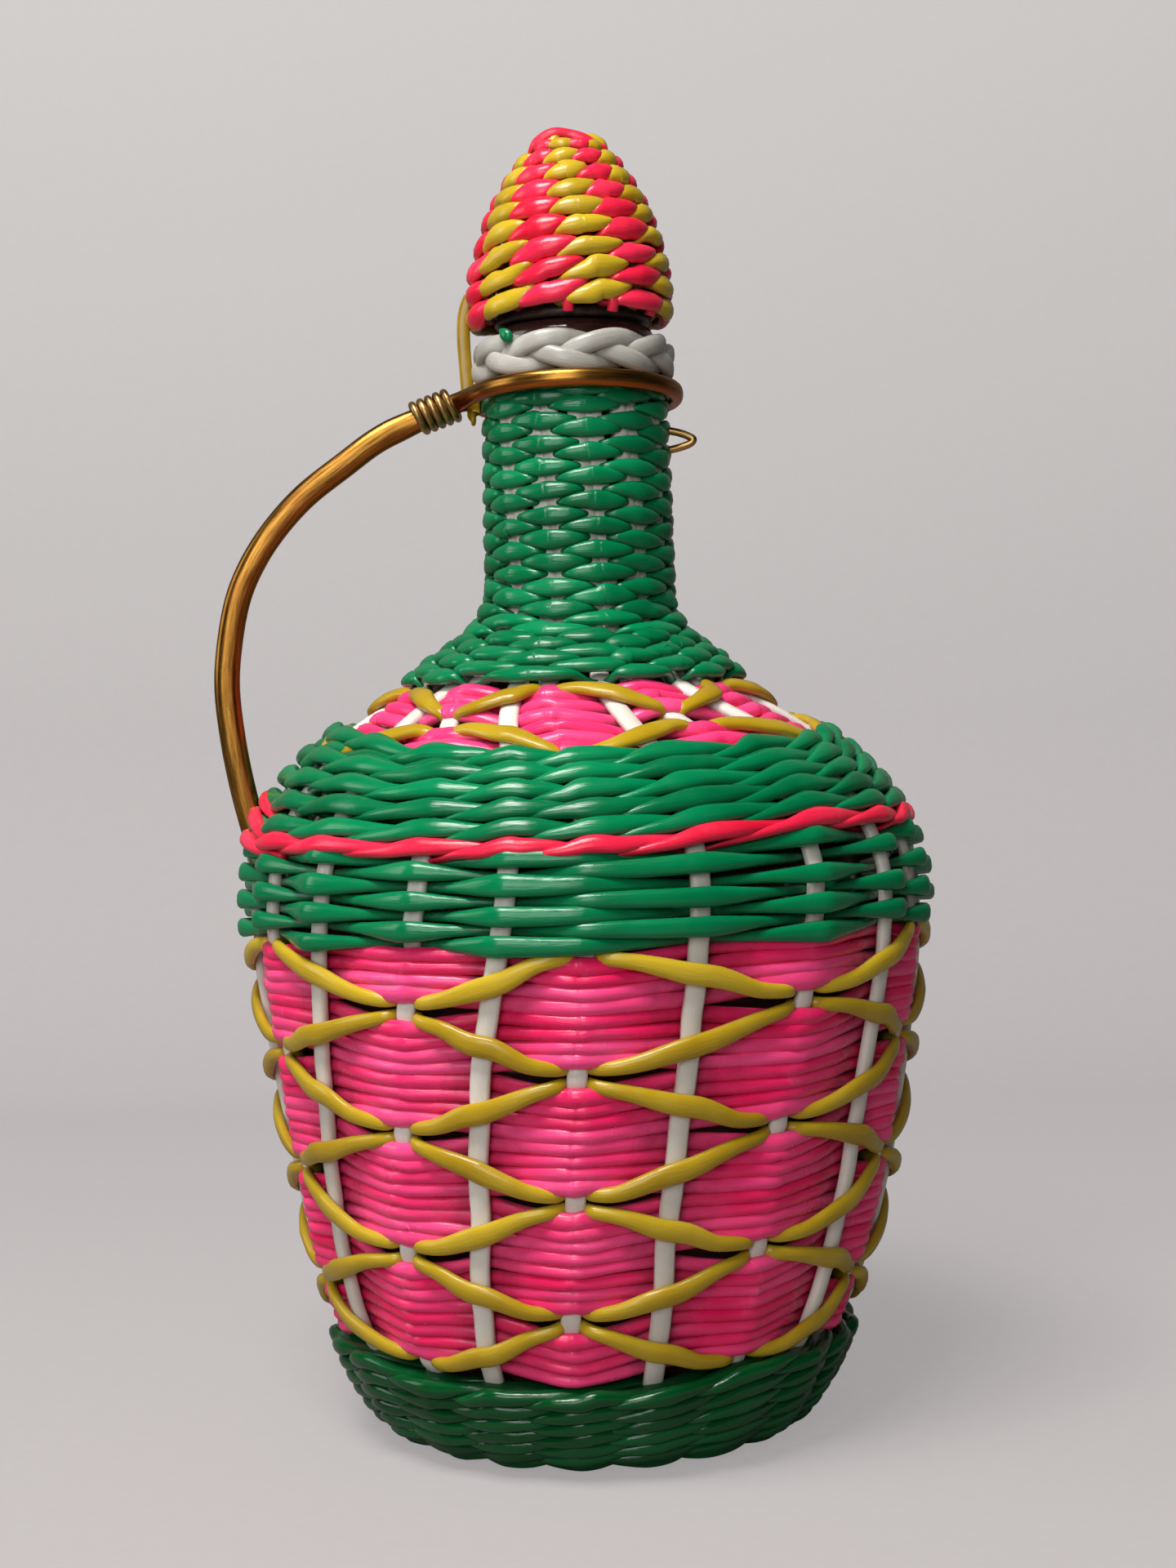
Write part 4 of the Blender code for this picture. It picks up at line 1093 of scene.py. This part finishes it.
# The grip's route from its foot in the cover up to the binding, as (out to the left, up)
gripRoute = (
    (76.1, 123.1), (75.5, 126.9), (76.2, 132.9), (78.2, 140.8), (80.3, 150), (82.1, 160.8), (83.1, 172.5),
    (82.3, 182.4), (80.1, 193), (76.6, 201.2), (71.2, 209.3), (63.7, 217.3), (54, 224.6), (47, 229.6),
    (40, 233.1),
)


def bindingFrame():
    slope = math.radians(handleShape["bindSlope"])
    along, up = (math.cos(slope), 0, math.sin(slope)), (-math.sin(slope), 0, math.cos(slope))
    return np.array(handleShape["bindMiddle"]), np.array(along), np.array(up)


def handleWire():
    # One wire: grip, lasso round the neck, and the end that lies beside the grip in the binding
    shape = handleShape
    middle, along, _ = bindingFrame()
    side, reach = np.array([0, shape["side"], 0]), along * shape["bindReach"]
    out, up = np.array(gripRoute).T
    grip = joined(-out, shape["side"] * np.clip((shape["sideFrom"] - out) / shape["sideOver"], 0, 1), up)
    inner = middle + reach + side
    away = math.acos(shape["ringRadius"] / math.hypot(inner[0], shape["wireHalf"]))
    turn = np.linspace(math.pi - away, away - math.pi, 40)
    spoke = joined(np.cos(turn), np.sin(turn), 0)
    ringUp = shape["ringHeight"] - shape["ringTilt"] * np.sin(turn)
    tail = [middle + reach - side, middle - along * shape["tailEnd"] - side]
    path = np.vstack([grip, inner[None], shape["ringRadius"] * spoke + joined(0, 0, ringUp), tail])
    back, front = np.tile([0, 1, 0], (len(grip) + 1, 1)), np.tile([0, -1, 0], (2, 1))
    outward = np.vstack([back, spoke, front])
    gripShare = np.clip(len(grip) - np.arange(len(path)), 0, 1)[:, None]
    wide = shape["ringWide"] + (shape["gripWide"] - shape["ringWide"]) * gripShare
    thick = shape["ringThick"] + (shape["gripThick"] - shape["ringThick"]) * gripShare
    path, outward, sizes = np.split(threaded(np.hstack([path, outward, wide, thick]), 5), (3, 6), axis=1)
    flat, tall = roundedSection(20, 0.85)
    dip = np.exp(-((flat - shape["grooveAt"]) / shape["grooveWide"]) ** 2) * (tall < 0)
    groove = 1 - shape["groove"] * dip
    basket = Basket()
    basket.skin(path, unit(outward), *sizes.T, (flat * groove, tall * groove))
    basket.make("handleWire", "gold_wire", ["handle_wire"], handleGold)


def handleBinding():
    # A coil whose turns are flattened over the two wires side by side
    shape = handleShape
    middle, along, up = bindingFrame()
    turn = np.linspace(0, 2 * np.pi * shape["bindTurns"], 48 * shape["bindTurns"] + 1)
    high = shape["wireHalf"] + shape["bindGap"] + shape["tieWire"]
    shift = shape["bindLength"] * (turn / turn[-1] - 0.5)
    wide = high * np.cos(turn) + shape["side"] * np.tanh(3 * np.cos(turn))
    centre = middle + along * shift[:, None]
    spoke = np.array([0, 1, 0]) * wide[:, None] + up * (high * 1.04 * np.sin(turn))[:, None]
    basket = Basket()
    basket.skin(centre + spoke, unit(spoke), shape["tieWire"], shape["tieWire"], roundedSection(10, 1))
    basket.make("handleBinding", "tie_wire", ["handle_binding"], tieBrass)


hookShape = {
    "half": 0.9,
    "route": (
        (21, -1.2, 230.3), (24.4, -1.3, 229.5), (26.6, -1.4, 228.6), (27.5, -1.5, 227.9),
        (26.8, -1.4, 227), (24.6, -1.3, 226.2), (21, -1.2, 225.4),
    ),
}
strapShape = {
    "wide": 1.55, "thick": 0.6,
    "route": (
        (-23.6, 0, 262.5), (-24.7, 0, 259.8), (-25.3, 0, 256.6), (-25.4, 0, 251.7),
        (-25.1, 0, 245.6), (-24.8, 0, 240.8), (-24.4, 0, 239.1), (-23.5, 0, 239.1),
        (-23.4, 0.1, 237.7), (-23.5, 0, 236.2), (-23.5, -0.6, 235), (-23.5, -1.7, 234.1),
        (-23.5, -3.5, 233.6),
    ),
    "bottleEnd": (-0.026, 0, 0.236), "stopperEnd": (-0.026, 0, 0.259),
}


def tieHook():
    path = threaded(np.array(hookShape["route"]), 8)
    outward = np.broadcast_to([0, -1, 0], path.shape)
    basket = Basket()
    basket.skin(path, outward, hookShape["half"], hookShape["half"], roundedSection(12, 1))
    basket.make("tieHook", "tie_wire", ["wire_hook"], tieBrass)


def stopperStrap():
    # Runs from the cap at its top end down to the bottle at its lower end. Its flat side faces
    # the front, and turns to the left where its end runs forwards
    path = threaded(np.array(strapShape["route"]), 8)
    turned = smoothStep(-0.2, -1.6, path[:, 1])[:, None]
    outward = unit([0, -1, 0] * (1 - turned) + [-1, 0, 0] * turned)
    basket = Basket()
    basket.skin(path, outward, strapShape["wide"], strapShape["thick"], roundedSection(12, 0.7))
    strap = basket.make("stopperStrap", "amber_cord", ["tether_cord"], strapFinish.material, None)
    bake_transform(strap)


handleWire()
handleBinding()
tieHook()
stopperStrap()

# The stopper

capRows = {
    "heights": (259.6, 264.6, 269.5, 274.7, 279.6, 284.2, 288.6, 292.8, 296.4), "size": 16,
    "wide": 2.45, "thick": 1.5, "square": 1.08, "front": -1.25, "back": -5.2, "climb": 1.7, "wander": 0.15,
    "stagger": 0, "bulge": 1.8, "bulgeTurn": -84, "bulgeOver": 30,
    "hang": (-180, -120, -75, -45, -10, 25, 60, 110, 180),
    "hangBy": (-3, -3, -4.6, -1.2, 0, 0, -2, -3, -3),
}
# The crown's cords, red then olive, each a route of (right, back, up) over the top
crown = {
    "middle": (0, 0, 286), "wide": 1.9, "thick": 1.3,
    "red": (
        (
            (-9.6, -3, 293.6), (-6.8, -4.2, 296.8), (-3.4, -4.8, 298.6), (0.2, -4.4, 298.4),
            (4.4, -4.6, 296.9), (8.4, -3.6, 294.2),
        ),
        ((-8, 2.6, 295), (-4, 2.2, 298), (1, 1.8, 298.6), (5, 2.6, 297.2), (9, 3, 293.6)),
    ),
    "olive": (
        (
            (-4.6, -7, 294.8), (-3.2, -4.9, 297.4), (-1.8, -2.2, 298.7), (-0.5, 1.6, 298.3),
            (0.8, 6, 295.8),
        ),
        ((2.2, -0.8, 297.4), (4.8, -0.6, 298.2), (7.6, -0.4, 297), (9.6, 0.2, 293.8)),
    ),
}
# Ends of the cap's red stakes show under its rim, at these turns, each a route of (out, up)
stakeEnds = {
    "turns": (-2, 26, 58), "route": ((21.6, 259.4), (21.4, 256.9), (20.8, 255.3)),
    "wide": 1.25, "thick": 1.1,
}


def capBaskets():
    # Red and olive strands twined round the cap's columns, lower at the sides than at the front
    shape = capRows
    red, olive = Basket(), Basket()
    columns = np.arange(12)
    turns = facing(capTurn(columns, capCentre))
    hang = np.interp(turns, shape["hang"], shape["hangBy"])
    bulge = shape["bulge"] * np.exp(-(((turns - shape["bulgeTurn"]) / shape["bulgeOver"]) ** 2))
    for level, height in enumerate(shape["heights"]):
        mark = np.interp(height, capSide.heights, capSide.marks) + hang * (1 - smoothStep(-1, 5, level))
        small = np.clip(np.interp(height, capSide.heights, capSide.radii) / shape["size"], 0.5, 1)
        row = {**shape, "wide": shape["wide"] * small ** 0.5, "climb": shape["climb"] * small}
        twinedRow([olive, red], capSide, columns, mark, row, bulge * (1 - smoothStep(-1, 4, level)))
    for basket, routes in ((red, crown["red"]), (olive, crown["olive"])):
        for route in routes:
            path = threaded(np.array(route), 8)
            tip = tipShare(len(path), -2, 8)
            outward, section = unit(path - crown["middle"]), roundedSection(12, 0.8)
            basket.skin(path, outward, crown["wide"] * tip, crown["thick"] * tip, section)
    for turn in np.radians(stakeEnds["turns"]):
        out, up = np.array(stakeEnds["route"]).T
        path = threaded(ringed(out, turn, up), 5)
        outward = np.broadcast_to(ringed(1, turn, 0), path.shape)
        red.skin(path, outward, stakeEnds["wide"], stakeEnds["thick"], roundedSection(10, 0.8))
    red.make("capRed", "red_cord", ["cap_weave"], coralCord, "stopper")
    olive.make("capOlive", "olive_cord", ["cap_weave"], oliveCord, "stopper")


# The former's flange on the lip and its socket for the plug, and the plug, as (radius, height)
liningInset = 6.6
liningFoot = ((0, 260.5), (10.6, 260.5), (10.6, 254.8), (17.8, 254.8), (18.2, 255.4), (18.2, 256.6))
plugOutline = (
    (0, 239.5), (8, 239.5), (8.6, 239.9), (9.2, 241.2), (10, 251.5), (10, 260), (9.8, 260.2),
    (0, 260.2),
)


def capLining():
    # The former is the cap's outline moved in
    radius, height = capSide.at(np.linspace(2, capSide.marks[-1], 40), -liningInset)[:2]
    keep = radius > 0.2
    outline = np.vstack([liningFoot, joined(radius, height)[keep], [(0, height[keep][-1])]])
    lathe("capLining", outline, 96, "stopper", ["stopper_core"], liningFinish.material)


capBaskets()
capLining()
lathe("corkPlug", plugOutline, 96, "stopper", ["stopper_plug"], corkFinish.material)
print("pieces made")

# Studio

studio = {
    # low and high are the paper's painted light, darker near the floor and paler up the wall
    "floor": (118, 114, 112), "low": (154, 150, 151), "high": (174, 173, 172), "fleck": (210, 208, 206),
    "depth": 420, "bend": 160, "half": 1500, "front": 1500, "top": 1600,
}


def studioSweep():
    # Floor, quarter-round bend and back wall in one sheet
    bend = np.radians(np.linspace(0, 90, 24))
    depth, radius, half = studio["depth"], studio["bend"], studio["half"]
    outline = np.vstack([
        [(-studio["front"], 0)], joined(depth + radius * np.sin(bend), radius * (1 - np.cos(bend))),
        [(depth + radius, studio["top"])],
    ])
    points = joined([-half, half], outline[:, :1], outline[:, 1:]).reshape(-1, 3)
    i = np.arange(len(outline) - 1) * 2
    quads = joined(i, i + 1, i + 3, i + 2)
    sweep = makeMesh("studioSweep", points, quads.ravel(), np.full(len(quads), 4))
    finish = Finish("pale studio paper")
    fibre = finish.noise(finish.inPlace(), 260, 4)
    # The camera sees the paper pale, with painted light that is darker towards the floor and paler up the
    # wall, while less of its light comes back on the bottle
    ray = finish.add("LightPath", {}, "Is Camera Ray")
    # Painted light on the paper: its glow grows from low near the floor to high up the wall
    rise = finish.clamped(finish.along(finish.inPlace(), "Z"), 0, 0.6)
    glow = finish.mixed(fibre * 0.08, finish.mixed(rise, studio["low"], studio["high"]), studio["fleck"])
    finish.set(
        Base_Color=paint(*studio["floor"]), Roughness=0.9, Normal=finish.bump(fibre, 0.05, 0.0005),
        Emission_Color=finish.mixed(ray, (0, 0, 0), glow), Emission_Strength=1,
    )
    sweep.data.materials.append(finish.material)


# Each lamp's name, place, aim, size, power and colour
lamps = (
    ("windowLamp", (-0.25, -0.5, 1.1), (0, 0, 0.16), (0.5, 0.4), 15.5, (1, 0.99, 0.97)),
    ("frontLamp", (-0.35, -1.3, 0.55), (0, 0, 0.14), (0.7, 0.7), 6.5, (0.97, 0.99, 1)),
    ("leftLamp", (-1, -0.1, 0.5), (0, 0, 0.14), (0.4, 0.6), 2, (1, 1, 1)),
)
room = {"strength": 0.16, "seen": (0.95, 0.97, 1, 1), "mirrored": (0.12, 0.12, 0.12, 1)}


def softLamp(name, place, aim, size, power, colour):
    lamp = bpy.data.lights.new(name, "AREA")
    lamp.shape, lamp.size, lamp.size_y = "RECTANGLE", *size
    lamp.energy, lamp.color = power, colour
    holder = bpy.data.objects.new(name, lamp)
    holder.location = place
    holder.rotation_euler = (Vector(aim) - Vector(place)).to_track_quat("-Z", "Y").to_euler()
    bpy.context.scene.collection.objects.link(holder)


def light():
    # The room is darker in reflections than its light on the bottle
    for lamp in lamps:
        softLamp(*lamp)
    world = bpy.data.worlds.new("studio light")
    world.use_nodes = True
    nodes, links = world.node_tree.nodes, world.node_tree.links
    nodes["Background"].inputs["Strength"].default_value = room["strength"]
    ray, blend = nodes.new("ShaderNodeLightPath"), nodes.new("ShaderNodeMix")
    blend.data_type = "RGBA"
    blend.inputs["A"].default_value, blend.inputs["B"].default_value = room["seen"], room["mirrored"]
    links.new(ray.outputs["Is Glossy Ray"], blend.inputs["Factor"])
    links.new(blend.outputs["Result"], nodes["Background"].inputs["Color"])
    bpy.context.scene.world = world


shot = {
    "place": (0.0009, -0.5464, 0.1660), "tilt": 88.13, "roll": -1.5,
    "lens": 53.44, "film": 36, "near": 0.01,
}


def camera():
    lens = bpy.data.cameras.new("shot")
    lens.sensor_fit = "VERTICAL"
    lens.sensor_height = lens.sensor_width = shot["film"]
    lens.lens, lens.clip_start = shot["lens"], shot["near"]
    holder = bpy.data.objects.new("shot", lens)
    tilt = Matrix.Rotation(math.radians(shot["tilt"]), 4, "X")
    roll = Matrix.Rotation(math.radians(shot["roll"]), 4, "Z")
    holder.matrix_world = Matrix.Translation(shot["place"]) @ (tilt @ roll)
    bpy.context.scene.collection.objects.link(holder)
    bpy.context.scene.camera = holder


studioSweep()
light()
camera()
bpy.context.scene.view_settings.view_transform = "Standard"

print("studio set")
